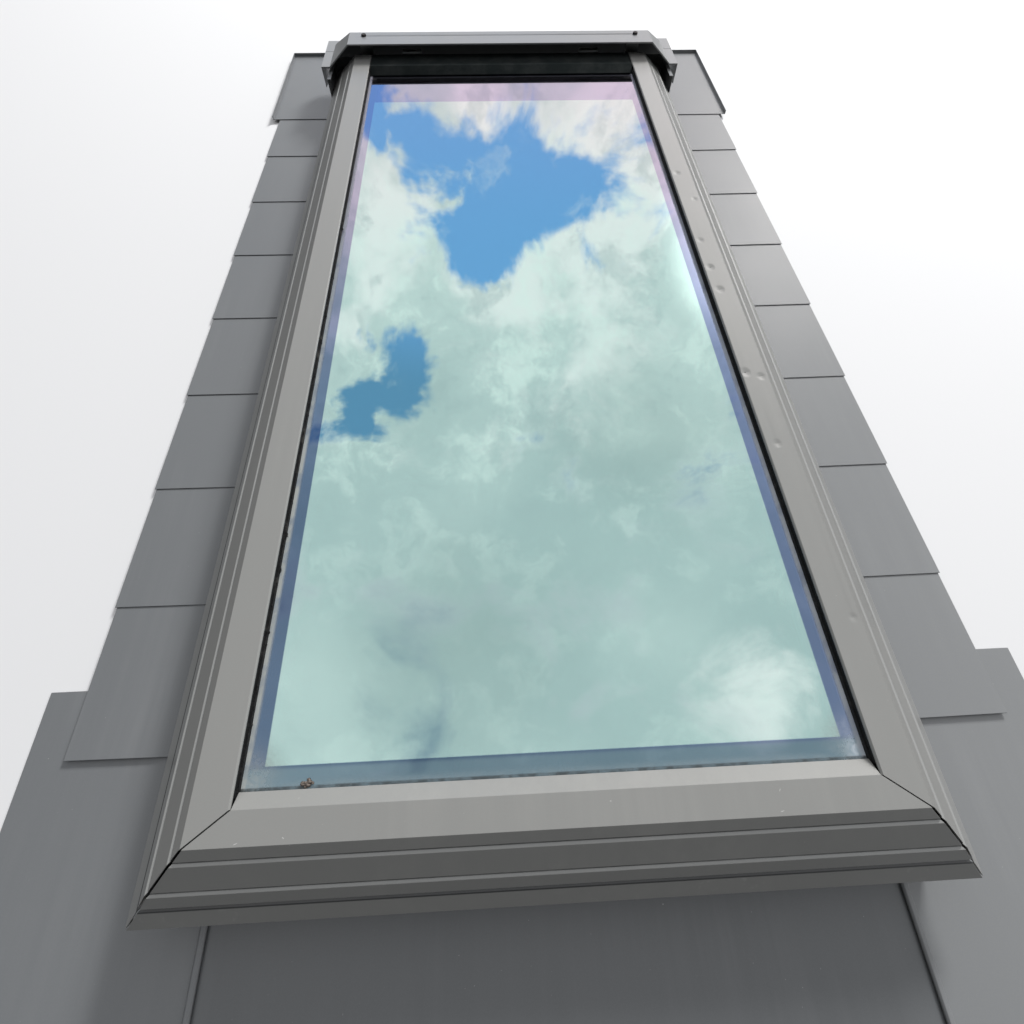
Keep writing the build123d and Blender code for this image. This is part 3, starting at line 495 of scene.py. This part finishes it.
def painted_sheet(name, base, dust, marks=(), gloss=0.4, wear_and_painted_light=None):
    """Weathered satin paint on folded aluminium: blotches, run-off streaks, dust and fine scratches."""
    s = Shader(name)
    blotch = s.noise(7.0, 5.0, 0.6)
    streak = s.noise(70.0, 4.0, 0.6, vector=s.scaled(1.0, 0.05, 1.0))
    grain = s.noise(1100.0, 2.0, 0.6)
    speck = s.noise(420.0, 1.0, 0.5)
    dirty = s.math("MULTIPLY", s.ramp(blotch, 0.35, 0.75), s.ramp(streak, 0.35, 0.75))
    tone = s.mix(s.math("MULTIPLY", dirty, 0.6), base, dust)
    tone = s.mix(s.ramp(grain, 0.35, 0.75, 0.0, 0.16), tone, dust)
    tone = s.mix(s.ramp(speck, 0.80, 0.86, 0.0, 0.5), tone, (0.6, 0.6, 0.57))
    if marks:
        worn = s.most([scratch(s, *mark) for mark in marks])
        tone = s.mix(s.math("MULTIPLY", worn, 0.7), tone, (0.7, 0.7, 0.68))
    # The given function paints light and shade into the tone, and on the frame cladding also scuffs
    if wear_and_painted_light:
        tone = wear_and_painted_light(s, tone)
    uneven = s.ramp(blotch, 0.3, 0.7, gloss - 0.04, gloss + 0.06)
    rough = s.math("ADD", uneven, s.math("MULTIPLY", dirty, 0.12))
    wave = s.noise(11.0, 2.0, 0.4, vector=s.scaled(1.0, 0.4, 1.0))
    normal = s.bump(wave, 0.2, 0.003)
    normal = s.bump(grain, 0.10, 0.0002, normal)
    return s.surface(
        Base_Color=tone,
        Roughness=rough,
        Normal=normal,
        Metallic=0.0,
        Specular_IOR_Level=0.6,
        Coat_Weight=0.9,
        Coat_Roughness=0.3,
    )


def wood(name, grain_way):
    """Lacquered pine with its grain along the rail, and painted black shade on the edge under the cladding.
    """
    s = Shader(name)
    coarse = [6.0, 6.0, 6.0]
    close = [1.0, 1.0, 1.0]
    coarse[grain_way] = 0.5
    close[grain_way] = 0.05
    rings = s.noise(14.0, 4.0, 0.6, vector=s.scaled(*coarse), distortion=0.6)
    fine = s.noise(240.0, 3.0, 0.6, vector=s.scaled(*close))
    tone = s.mix(s.ramp(rings, 0.35, 0.65), (0.62, 0.42, 0.22), (0.42, 0.25, 0.11))
    tone = s.mix(s.ramp(fine, 0.45, 0.7, 0.0, 0.4), tone, (0.3, 0.17, 0.08))
    # Painted shade: the wood above this height, seen through the cladding's gaps, is black
    wood_shade = s.ramp(s.axes()[2], WOOD_SHADE_FROM_Z, WOOD_SHADE_FROM_Z + FOLD_SOFT)
    tone = s.mix(wood_shade, tone, (0.012, 0.012, 0.012))
    normal = s.bump(fine, 0.2, 0.0008)
    return s.surface(Base_Color=tone, Roughness=s.ramp(rings, 0.3, 0.7, 0.32, 0.45), Normal=normal)


def rubber():
    """Old black rubber, greyed and cracked by the sun."""
    s = Shader("aged_rubber")
    crack = s.node(
        "ShaderNodeTexVoronoi",
        {"feature": "DISTANCE_TO_EDGE"},
        Vector=s.place(),
        Scale=260.0,
    ).outputs[0]
    chalk = s.noise(90.0, 4.0, 0.65)
    tone = s.mix(s.ramp(chalk, 0.5, 0.85), (0.012, 0.012, 0.012), (0.10, 0.096, 0.088))
    height = s.math("ADD", s.ramp(crack, 0.0, 0.08), s.math("MULTIPLY", chalk, 0.5))
    normal = s.bump(height, 0.7, 0.0008)
    return s.surface(Base_Color=tone, Roughness=s.ramp(chalk, 0.3, 0.8, 0.55, 0.85), Normal=normal)


def plated_steel():
    """Zinc-plated steel with a fine rolled grain."""
    s = Shader("zinc_plated_steel")
    grain = s.noise(500.0, 3.0, 0.6, vector=s.scaled(1.0, 0.12, 1.0))
    cloud = s.noise(40.0, 4.0, 0.6)
    tone = s.mix(cloud, (0.52, 0.52, 0.5), (0.66, 0.65, 0.6))
    normal = s.bump(grain, 0.15, 0.0004)
    rough = s.ramp(cloud, 0.3, 0.7, 0.28, 0.45)
    return s.surface(Base_Color=tone, Metallic=1.0, Roughness=rough, Normal=normal)


def dark_screw():
    """Weathered screw heads, darker than the sheet."""
    s = Shader("weathered_screw")
    rust = s.noise(700.0, 4.0, 0.6)
    tone = s.mix(s.ramp(rust, 0.45, 0.7), (0.035, 0.035, 0.04), (0.12, 0.08, 0.05))
    return s.surface(Base_Color=tone, Metallic=0.6, Roughness=0.45, Normal=s.bump(rust, 0.4, 0.0005))


def operator_plastic():
    """Off-white moulded plastic with a fine texture."""
    s = Shader("operator_plastic")
    grain = s.noise(1400.0, 2.0, 0.5)
    cloud = s.noise(30.0, 3.0, 0.5)
    tone = s.mix(cloud, (0.72, 0.7, 0.64), (0.78, 0.77, 0.72))
    rough = s.ramp(cloud, 0.3, 0.7, 0.42, 0.52)
    return s.surface(Base_Color=tone, Roughness=rough, Normal=s.bump(grain, 0.12, 0.0003))


def spacer_metal():
    """The bright bar between the panes, dulled by age."""
    s = Shader("spacer_metal")
    side = s.axes()[0]
    cloud = s.noise(12.0, 4.0, 0.6)
    tone = s.mix(s.ramp(side, *TINT_TURN_X), (0.34, 0.46, 0.56), (0.62, 0.62, 0.84))
    tone = s.mix(s.ramp(cloud, 0.35, 0.7, 0.0, 0.5), tone, (0.62, 0.66, 0.70))
    return s.surface(Base_Color=tone, Metallic=0.3, Roughness=0.4)


def vision_mask(s, across, along):
    """1 where the outer pane lies over the cavity, 0 where it lies over the spacer."""
    soft = MASK_SOFT
    x = spacer_high.x - SPACER_WIDTH
    low = spacer_low.y + SPACER_WIDTH
    high = HEAD_BAND_Y
    inside = s.ramp(s.math("ABSOLUTE", across), x - soft, x + soft, 1.0, 0.0)
    inside = s.math("MULTIPLY", inside, s.ramp(along, low - soft, low + soft))
    return s.math("MULTIPLY", inside, s.ramp(along, high - soft, high + soft, 1.0, 0.0))


def grime_mask(s, across, along):
    """Dried dirt: in the lower corners, along the lower edge and as a line beside the gasket."""
    blot = s.noise(60.0, 5.0, 0.65)
    fine = s.noise(380.0, 3.0, 0.6)
    side = s.math("ABSOLUTE", across)
    mottle = s.math("MULTIPLY", s.ramp(blot, 0.25, 0.6, 0.55, 1.0), s.ramp(fine, 0.3, 0.65, 0.65, 1.0))
    places = [(x, CORNER_DIRT_Y, glass_top) for x in (-CORNER_DIRT_X, CORNER_DIRT_X)]
    corners = [near(s, place, CORNER_DIRT_RADIUS) for place in places]
    corner = s.math("MULTIPLY", s.most(corners), 0.9)
    foot = s.ramp(along, *FOOT_DUST_Y, 0.45, 0.0)
    rim = s.ramp(side, *RIM_DIRT_X)
    rim = s.math("MULTIPLY", rim, s.ramp(along, *RIM_FADE_Y, 1.0, 0.6))
    rim = s.math("MULTIPLY", rim, s.ramp(blot, 0.3, 0.6, 0.7, 1.0))
    edge = s.math("MAXIMUM", s.math("MULTIPLY", s.math("MAXIMUM", corner, foot), mottle), rim)
    dust = s.math("MULTIPLY", s.ramp(fine, 0.66, 0.78), 0.06)
    return s.most([edge, dust])


def coated_pane():
    """The outer pane: a mint sun-control mirror over the cavity, and a bluish edge over the spacer."""
    s = Shader("coated_glass")
    across, along, _ = s.axes()
    inside = vision_mask(s, across, along)
    haze = grime_mask(s, across, along)
    edge = s.mix(s.ramp(across, *TINT_TURN_X), *EDGE_TINTS)
    foot = s.mix(s.ramp(along, *FOOT_LINE_Y, 1.0, 0.0), *FOOT_TINTS)
    edge = s.mix(s.ramp(along, *FOOT_BAND_Y, 1.0, 0.0), edge, foot)
    edge = s.mix(s.ramp(along, *HEAD_TINT_Y), edge, HEAD_TINT)
    view = s.mix(s.ramp(along, *VIEW_TINT_Y), *VIEW_TINTS)
    tone = s.mix(inside, edge, view)
    # Haze over the glass, paler toward the right gasket as painted light
    tone = s.mix(haze, tone, s.mix(s.ramp(across, *HAZE_LIGHT_TURN_X), *HAZE_TINTS_DIRT_AND_LIT))
    broken = s.ramp(s.noise(160.0, 3.0, 0.6), 0.3, 0.6, 0.5, 1.0)
    seam = s.math("MULTIPLY", s.ramp(along, *SEAM_Y, 0.9, 0.0), broken)
    tone = s.mix(seam, tone, SEAM_TINT)
    bare = s.math("SUBTRACT", 1.0, s.math("MAXIMUM", haze, seam), clamp=True)
    low_shine = s.ramp(along, *LOW_SHINE_Y, EDGE_SHINE_LOW, EDGE_SHINE_MIDDLE)
    edge_shine = s.math("ADD", low_shine, s.ramp(along, *HIGH_SHINE_Y, 0.0, EDGE_SHINE_MORE))
    more_shine = s.math("MULTIPLY", inside, s.math("SUBTRACT", VIEW_SHINE, edge_shine))
    metal = s.math("MULTIPLY", s.math("ADD", edge_shine, more_shine), bare)
    rough = s.ramp(haze, 0.0, 0.8, 0.006, 0.5, smooth=False)
    normal = s.bump(s.noise(3.0, 2.0, 0.5), 0.04, 0.004)
    return s.surface(
        Base_Color=tone,
        Metallic=metal,
        Transmission_Weight=bare,
        Roughness=rough,
        IOR=GLASS_IOR,
        Normal=normal,
    )


def clear_pane():
    """The inner pane: plain float glass with a faint green body and a little dust."""
    s = Shader("clear_glass")
    dust = s.ramp(s.noise(300.0, 3.0, 0.6), 0.6, 0.8, 0.0, 0.12)
    tone = s.mix(dust, (0.90, 0.965, 0.94), (0.6, 0.6, 0.58))
    clear = s.math("SUBTRACT", 1.0, dust)
    return s.surface(Base_Color=tone, Transmission_Weight=clear, Roughness=0.01, IOR=GLASS_IOR)


def moss():
    """Dry brown moss."""
    s = Shader("dry_moss")
    clump = s.noise(900.0, 4.0, 0.7)
    tone = s.mix(s.ramp(clump, 0.35, 0.65), (0.075, 0.06, 0.05), (0.26, 0.22, 0.19))
    return s.surface(Base_Color=tone, Roughness=0.9, Normal=s.bump(clump, 0.8, 0.0008))


def floor_paint():
    """The plain pale floor, which throws back as little light as the dark roof in the photograph."""
    s = Shader("studio_floor")
    path = s.tree.nodes.new("ShaderNodeLightPath")
    tone = s.mix(path.outputs["Is Camera Ray"], FLOOR_THROWN, FLOOR_SEEN)
    return s.surface(Base_Color=tone, Roughness=0.9)


def finish_nodes():
    """Give every CAD node its material, and the folded sheets a small rounded edge."""
    cladding = painted_sheet("cladding_paint", COVER_PAINT, COVER_DUST, wear_and_painted_light=step_lines)
    marked = painted_sheet("cladding_paint_marked", COVER_PAINT, COVER_DUST, SILL_MARKS, wear_and_painted_light=step_lines)
    strip = painted_sheet("cladding_paint_lower", COVER_PAINT, COVER_DUST, wear_and_painted_light=gap_dirt)
    rear_paint = painted_sheet("rear_paint", HOOD_PAINT, HOOD_DUST, gloss=HOOD_GLOSS, wear_and_painted_light=dark_front)
    hood_paint = painted_sheet("hood_paint", HOOD_PAINT, HOOD_DUST, gloss=HOOD_GLOSS, wear_and_painted_light=dark_inside)
    # Painted shade: the apron gets a darker copy of the flashing paint
    apron = painted_sheet("apron_paint_shaded", SHADED_APRON_PAINT, SHADED_APRON_DUST, gloss=FLASHING_GLOSS)
    flashing = painted_sheet(
        "flashing_paint", FLASHING_PAINT, FLASHING_DUST, gloss=FLASHING_GLOSS, wear_and_painted_light=bleached
    )
    long_pine = wood("pine_along", 1)
    cross_pine = wood("pine_across", 0)
    by_slot = {
        "pine": long_pine,
        "cladding": cladding,
        "flashing": flashing,
        "spacer_metal": spacer_metal(),
        "black_rubber": rubber(),
        "plated_steel": plated_steel(),
        "operator_plastic": operator_plastic(),
        "operator_metal": painted_sheet("operator_paint", (0.7, 0.68, 0.62), (0.76, 0.74, 0.7)),
    }
    special = {
        "sash_cover_sill": marked,
        "sash_cover_head": shaded_sheet(),
        "frame_cover_left": strip,
        "frame_cover_right": strip,
        "frame_cover_sill": strip,
        "hood": hood_paint,
        "hood_rear_cover": rear_paint,
        "hood_screws": dark_screw(),
        "sill_apron": apron,
        "outer_pane": coated_pane(),
        "inner_pane": clear_pane(),
        "frame_sill": cross_pine,
        "frame_head": cross_pine,
        "sash_sill": cross_pine,
        "sash_head": cross_pine,
    }
    slots = {row["node"]: row["material_slot"] for row in frame["record"]["subparts"]}
    for name, node in nodes.items():
        material = special.get(name) or by_slot[slots[name]]
        node.data.materials.clear()
        node.data.materials.append(material)
        if slots[name] in ("cladding", "flashing"):
            round_edges(node)
    return cladding


def round_edges(node):
    """The small radius that a folded or sheared sheet edge has, with the flats kept flat in their shading."""
    weld = node.modifiers.new("weld", "WELD")
    weld.merge_threshold = MERGE_GAP
    bevel = node.modifiers.new("edge_round", "BEVEL")
    bevel.width = SHEET_EDGE
    bevel.segments = EDGE_SEGMENTS
    bevel.limit_method = "ANGLE"
    bevel.angle_limit = SHARP_ANGLE
    bevel.harden_normals = True


def dent_depth(x, y):
    """How far the right cover's top face is pushed in at a place."""
    depth = 0.0
    for cx, cy, radius, deep in DENTS:
        share = math.hypot(x - cx, (y - cy) * DENT_SQUEEZE) / radius
        if share < 1:
            bowl = (1 - share * share) ** 2
            beside = (y - cy - CREASE_SLOPE * (x - cx)) / (CREASE_WIDTH * radius)
            depth = max(depth, deep * bowl * (1 + CREASE_DEPTH * math.exp(-beside ** 2)))
    return depth


def cut(bm, geometry, place, way):
    """Cut the given part of a mesh along a plane."""
    bmesh.ops.bisect_plane(bm, geom=geometry, plane_co=place, plane_no=way, dist=0.0)


def dented_cover(material):
    """The right cover with real dents: its top face is cut finer round each and pushed in."""
    source = nodes["sash_cover_right"]
    bm = bmesh.new()
    bm.from_mesh(source.data)
    bmesh.ops.remove_doubles(bm, verts=bm.verts, dist=MERGE_GAP)
    for _, cy, radius, _ in DENTS:
        reach = radius * DENT_REACH
        count = int(2 * reach / DENT_STEP)
        for index in range(count + 1):
            y = cy - reach + index * DENT_STEP
            cut(bm, bm.verts[:] + bm.edges[:] + bm.faces[:], (0, y, 0), (0, 1, 0))
    top = [f for f in bm.faces if is_top(f)]
    low_x = min(v.co.x for f in top for v in f.verts)
    high_x = max(v.co.x for f in top for v in f.verts)
    x = low_x + DENT_STEP
    while x < high_x - DENT_STEP / 2:
        strip = [f for f in bm.faces if is_dented(f)]
        edges = list({e for f in strip for e in f.edges})
        verts = list({v for f in strip for v in f.verts})
        cut(bm, verts + edges + strip, (x, 0, 0), (1, 0, 0))
        x += DENT_STEP
    for vert in bm.verts:
        if vert.co.z > cover_top - TOP_SLACK:
            vert.co.z -= dent_depth(vert.co.x, vert.co.y)
    mesh = bpy.data.meshes.new("sash_cover_right_dented")
    bm.to_mesh(mesh)
    bm.free()
    mesh.shade_smooth()
    mesh.set_sharp_from_angle(angle=SHARP_ANGLE)
    mesh.materials.append(material)
    piece = bpy.data.objects.new("sash_cover_right_dented", mesh)
    bpy.context.scene.collection.objects.link(piece)
    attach(piece, "sash")
    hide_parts("sash_cover_right")


def is_top(face):
    """True for a face of the cover's flat top."""
    return face.normal.z > FLAT_NORMAL and face.calc_center_median().z > cover_top - TOP_SLACK


def is_dented(face):
    """True for a face of the top that lies in a dent's stretch."""
    middle = face.calc_center_median()
    return is_top(face) and any(abs(middle.y - cy) < radius * DENT_REACH for _, cy, radius, _ in DENTS)


def lump(bm, place, size, seed, rings=6, spokes=10):
    """Add one rough grain to a mesh: a closed blob of that half size, roughened by noise."""
    shift = Vector([seed * step for step in GRAIN_SHIFT])
    rows = []
    for ring in range(1, rings):
        tilt = math.pi * ring / rings
        row = []
        for spoke in range(spokes):
            turn = 2 * math.pi * spoke / spokes
            way = Vector((math.sin(tilt) * math.cos(turn), math.sin(tilt) * math.sin(turn), math.cos(tilt)))
            row.append(bm.verts.new(lump_point(way, place, size, shift)))
        rows.append(row)
    top = bm.verts.new(lump_point(Vector((0, 0, 1)), place, size, shift))
    foot = bm.verts.new(lump_point(Vector((0, 0, -1)), place, size, shift))
    for spoke in range(spokes):
        beside = (spoke + 1) % spokes
        bm.faces.new((top, rows[0][spoke], rows[0][beside]))
        bm.faces.new((foot, rows[-1][beside], rows[-1][spoke]))
        for upper, lower in zip(rows, rows[1:]):
            bm.faces.new((upper[spoke], lower[spoke], lower[beside], upper[beside]))


def lump_point(way, place, size, shift):
    """A point of a rough grain in one direction from its middle."""
    swell = 1 + 0.55 * noise.noise(way * 1.7 + shift) + 0.25 * noise.noise(way * 4.3 + shift)
    return Vector(place) + Vector(w * half * swell for w, half in zip(way, size))


def grains(name, rows, material, body):
    """One piece made of several rough grains."""
    bm = bmesh.new()
    for seed, (place, size) in enumerate(rows, 1):
        lump(bm, place, size, seed)
    mesh = bpy.data.meshes.new(name)
    bm.to_mesh(mesh)
    bm.free()
    mesh.shade_smooth()
    mesh.materials.append(material)
    piece = bpy.data.objects.new(name, mesh)
    bpy.context.scene.collection.objects.link(piece)
    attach(piece, body)


def crumbs():
    """Crumbs of the perished gasket along the left cover, standing on its lip."""
    draw = random.Random(CRUMB_SEED)
    rows = []
    for _ in range(CRUMB_COUNT):
        y = draw.choice([draw.uniform(*stretch) for stretch in CRUMB_STRETCHES])
        x = -draw.uniform(*CRUMB_X)
        half = draw.uniform(*CRUMB_SIZES)
        size = (half * 0.8, half * draw.uniform(1.0, 2.6), half * 0.7)
        rows.append(((x, y, GASKET_LIP_TOP - half * 0.25), size))
    return rows


def tuft():
    """The moss in the gasket at the lower edge of the glass."""
    draw = random.Random(TUFT_SEED)
    rows = []
    for _ in range(TUFT_COUNT):
        x = TUFT_X + draw.gauss(0, TUFT_SPREAD[0])
        y = TUFT_Y + draw.gauss(0, TUFT_SPREAD[1])
        half = draw.uniform(*TUFT_SIZES)
        rows.append(((x, y, glass_top + half * 0.5), (half * 1.3, half, half * 0.8)))
    return rows


def floor():
    """A plain pale floor under the skylight."""
    half = FLOOR_HALF
    mesh = bpy.data.meshes.new("studio_floor")
    corners = [(-half, -half, 0), (half, -half, 0), (half, half, 0), (-half, half, 0)]
    mesh.from_pydata(corners, [], [(0, 1, 2, 3)])
    mesh.materials.append(floor_paint())
    plane = bpy.data.objects.new("studio_floor", mesh)
    plane.location.z = -FLOOR_DROP
    bpy.context.scene.collection.objects.link(plane)


def soft_sky():
    """A plain soft studio world. Only what glass and metal mirror has the sky's soft clouds."""
    s = Shader("studio_world", world=True)
    way = s.tree.nodes.new("ShaderNodeTexCoord").outputs["Generated"]
    parts = s.node("ShaderNodeSeparateXYZ", Vector=way)
    across, along, height = [parts.outputs[axis] for axis in "XYZ"]
    sky = clouds(s, way, along)
    sky = s.mix(s.ramp(along, -0.95, -0.1, 1.0, 0.0), sky, BEHIND_CAMERA)
    sky = s.mix(s.ramp(across, -0.85, -0.42, 1.0, 0.0), sky, FAR_LEFT)
    sky = s.mix(s.ramp(height, 0.04, 0.20, 1.0, 0.0), sky, LOW_DARK)
    left = s.ramp(across, -0.40, -0.29, 1.0, 0.0)
    low_left = s.math("MULTIPLY", left, s.ramp(height, 0.36, 0.52, 1.0, 0.0))
    sky = s.mix(low_left, sky, LOW_DARK)
    sky = s.mix(near(s, LOW_GLOW, LOW_GLOW_RADIUS, way), sky, LOW_GLOW_COLOUR)
    path = s.tree.nodes.new("ShaderNodeLightPath")
    mirrored = s.math("MAXIMUM", path.outputs["Is Glossy Ray"], path.outputs["Is Transmission Ray"])
    tilt = s.vector_math("DOT_PRODUCT", way, ROOM_SLOPE).outputs["Value"]
    level = s.math("MAXIMUM", s.math("ADD", tilt, ROOM_LEVEL), ROOM_LEAST)
    room = s.mix(level, (0.0, 0.0, 0.0), ROOM_TINT)
    plain = s.mix(path.outputs["Is Camera Ray"], room, BACKDROP)
    studio = s.node("ShaderNodeBackground", Color=plain, Strength=1.0)
    reflected = s.node("ShaderNodeBackground", Color=sky, Strength=1.0)
    shown = s.tree.nodes.new("ShaderNodeMixShader")
    for socket, source in zip(shown.inputs, (mirrored, studio.outputs[0], reflected.outputs[0])):
        s.tree.links.new(source, socket)
    output = s.tree.nodes.new("ShaderNodeOutputWorld")
    s.tree.links.new(shown.outputs[0], output.inputs["Surface"])
    bpy.context.scene.world = s.owner


def clouds(s, way, along):
    """Soft clouds with blue gaps, for a direction and its share of Y."""
    puff = s.noise(5.2, 8.0, 0.6, vector=way, distortion=0.4)
    soft = s.noise(1.7, 2.0, 0.5, vector=way)
    swirl = s.node("ShaderNodeTexNoise", Vector=way, Scale=6.0, Detail=4.0, Roughness=0.6).outputs["Color"]
    centred = s.vector_math("SUBTRACT", swirl, (0.5, 0.5, 0.5)).outputs[0]
    shift = s.vector_math("MULTIPLY", centred, (0.22, 0.22, 0.22)).outputs[0]
    bent = s.vector_math("ADD", way, shift).outputs[0]
    rag = s.math("MULTIPLY", s.math("SUBTRACT", puff, 0.5), 2.9)
    ragged = s.math("ADD", spots(s, SKY_GAPS, bent, grow=1.1), rag)
    hazy = s.ramp(ragged, 0.05, 1.1)
    sharper = s.math("SUBTRACT", s.ramp(ragged, 0.24, 0.66), hazy)
    clear = s.math("ADD", hazy, s.math("MULTIPLY", sharper, s.ramp(along, *BLUE_RISE)))
    fleece = s.noise(9.5, 9.0, 0.60, vector=bent, distortion=0.2)
    clear = s.math("MULTIPLY", clear, s.ramp(fleece, 0.56, 0.74, 1.0, 0.72))
    billow = spots(s, SKY_BILLOWS, bent)
    shine = s.ramp(s.math("ADD", billow, s.math("MULTIPLY", rag, 0.9)), 0.05, 0.75)
    cloud = s.mix(shine, s.mix(s.ramp(soft, 0.35, 0.65), *CLOUD_GREY), CLOUD_SHINE)
    high = s.ramp(along, 0.30, 0.75, 0.30, 1.0)
    light = s.math("MULTIPLY", s.ramp(fleece, 0.50, 0.68, 0.0, 0.65), high)
    hollow = s.math("MULTIPLY", s.ramp(fleece, 0.33, 0.50, 0.5, 0.0), high)
    cloud = s.mix(light, cloud, CLOUD_FLEECE)
    cloud = s.mix(hollow, cloud, CLOUD_HOLLOW)
    cloud = s.mix(spots(s, SKY_SHADES, bent), cloud, CLOUD_SHADE)
    blue = s.mix(s.ramp(along, *BLUE_RISE), LOW_BLUE, MIDDLE_BLUE)
    blue = s.mix(s.ramp(along, *BLUE_TOP), blue, HIGH_BLUE)
    return s.mix(clear, cloud, blue)


def key_lamp():
    """One soft square lamp behind the skylight's upper end, to the right."""
    light = bpy.data.lights.new("key_lamp", "AREA")
    light.shape = "SQUARE"
    light.size = KEY_SIZE
    light.energy = KEY_POWER
    lamp = bpy.data.objects.new("key_lamp", light)
    lamp.location = KEY_WAY * KEY_DISTANCE
    lamp.rotation_euler = (-KEY_WAY).to_track_quat("-Z", "Y").to_euler()
    lamp.visible_glossy = False
    lamp.visible_transmission = False
    bpy.context.scene.collection.objects.link(lamp)


def camera():
    """The photograph's viewpoint."""
    data = bpy.data.cameras.new("camera")
    data.sensor_width = SENSOR_MM
    data.lens = FOCAL_PIXELS / IMAGE_PIXELS * SENSOR_MM
    data.clip_start = 0.01
    back = -CAMERA_AIM.normalized()
    right = CAMERA_RIGHT.normalized()
    up = back.cross(right)
    shot = bpy.data.objects.new("camera", data)
    turn = Matrix((right, up, back)).transposed().to_4x4()
    shot.matrix_world = Matrix.Translation(CAMERA_PLACE) @ turn
    bpy.context.scene.collection.objects.link(shot)
    bpy.context.scene.camera = shot


bpy.context.scene.view_settings.view_transform = "Standard"
camera()
floor()
soft_sky()
key_lamp()
dented_cover(finish_nodes())
grains("gasket_crumbs", crumbs(), nodes["glazing_gasket"].data.materials[0], "sash")
grains("moss_tuft", tuft(), moss(), "sash")
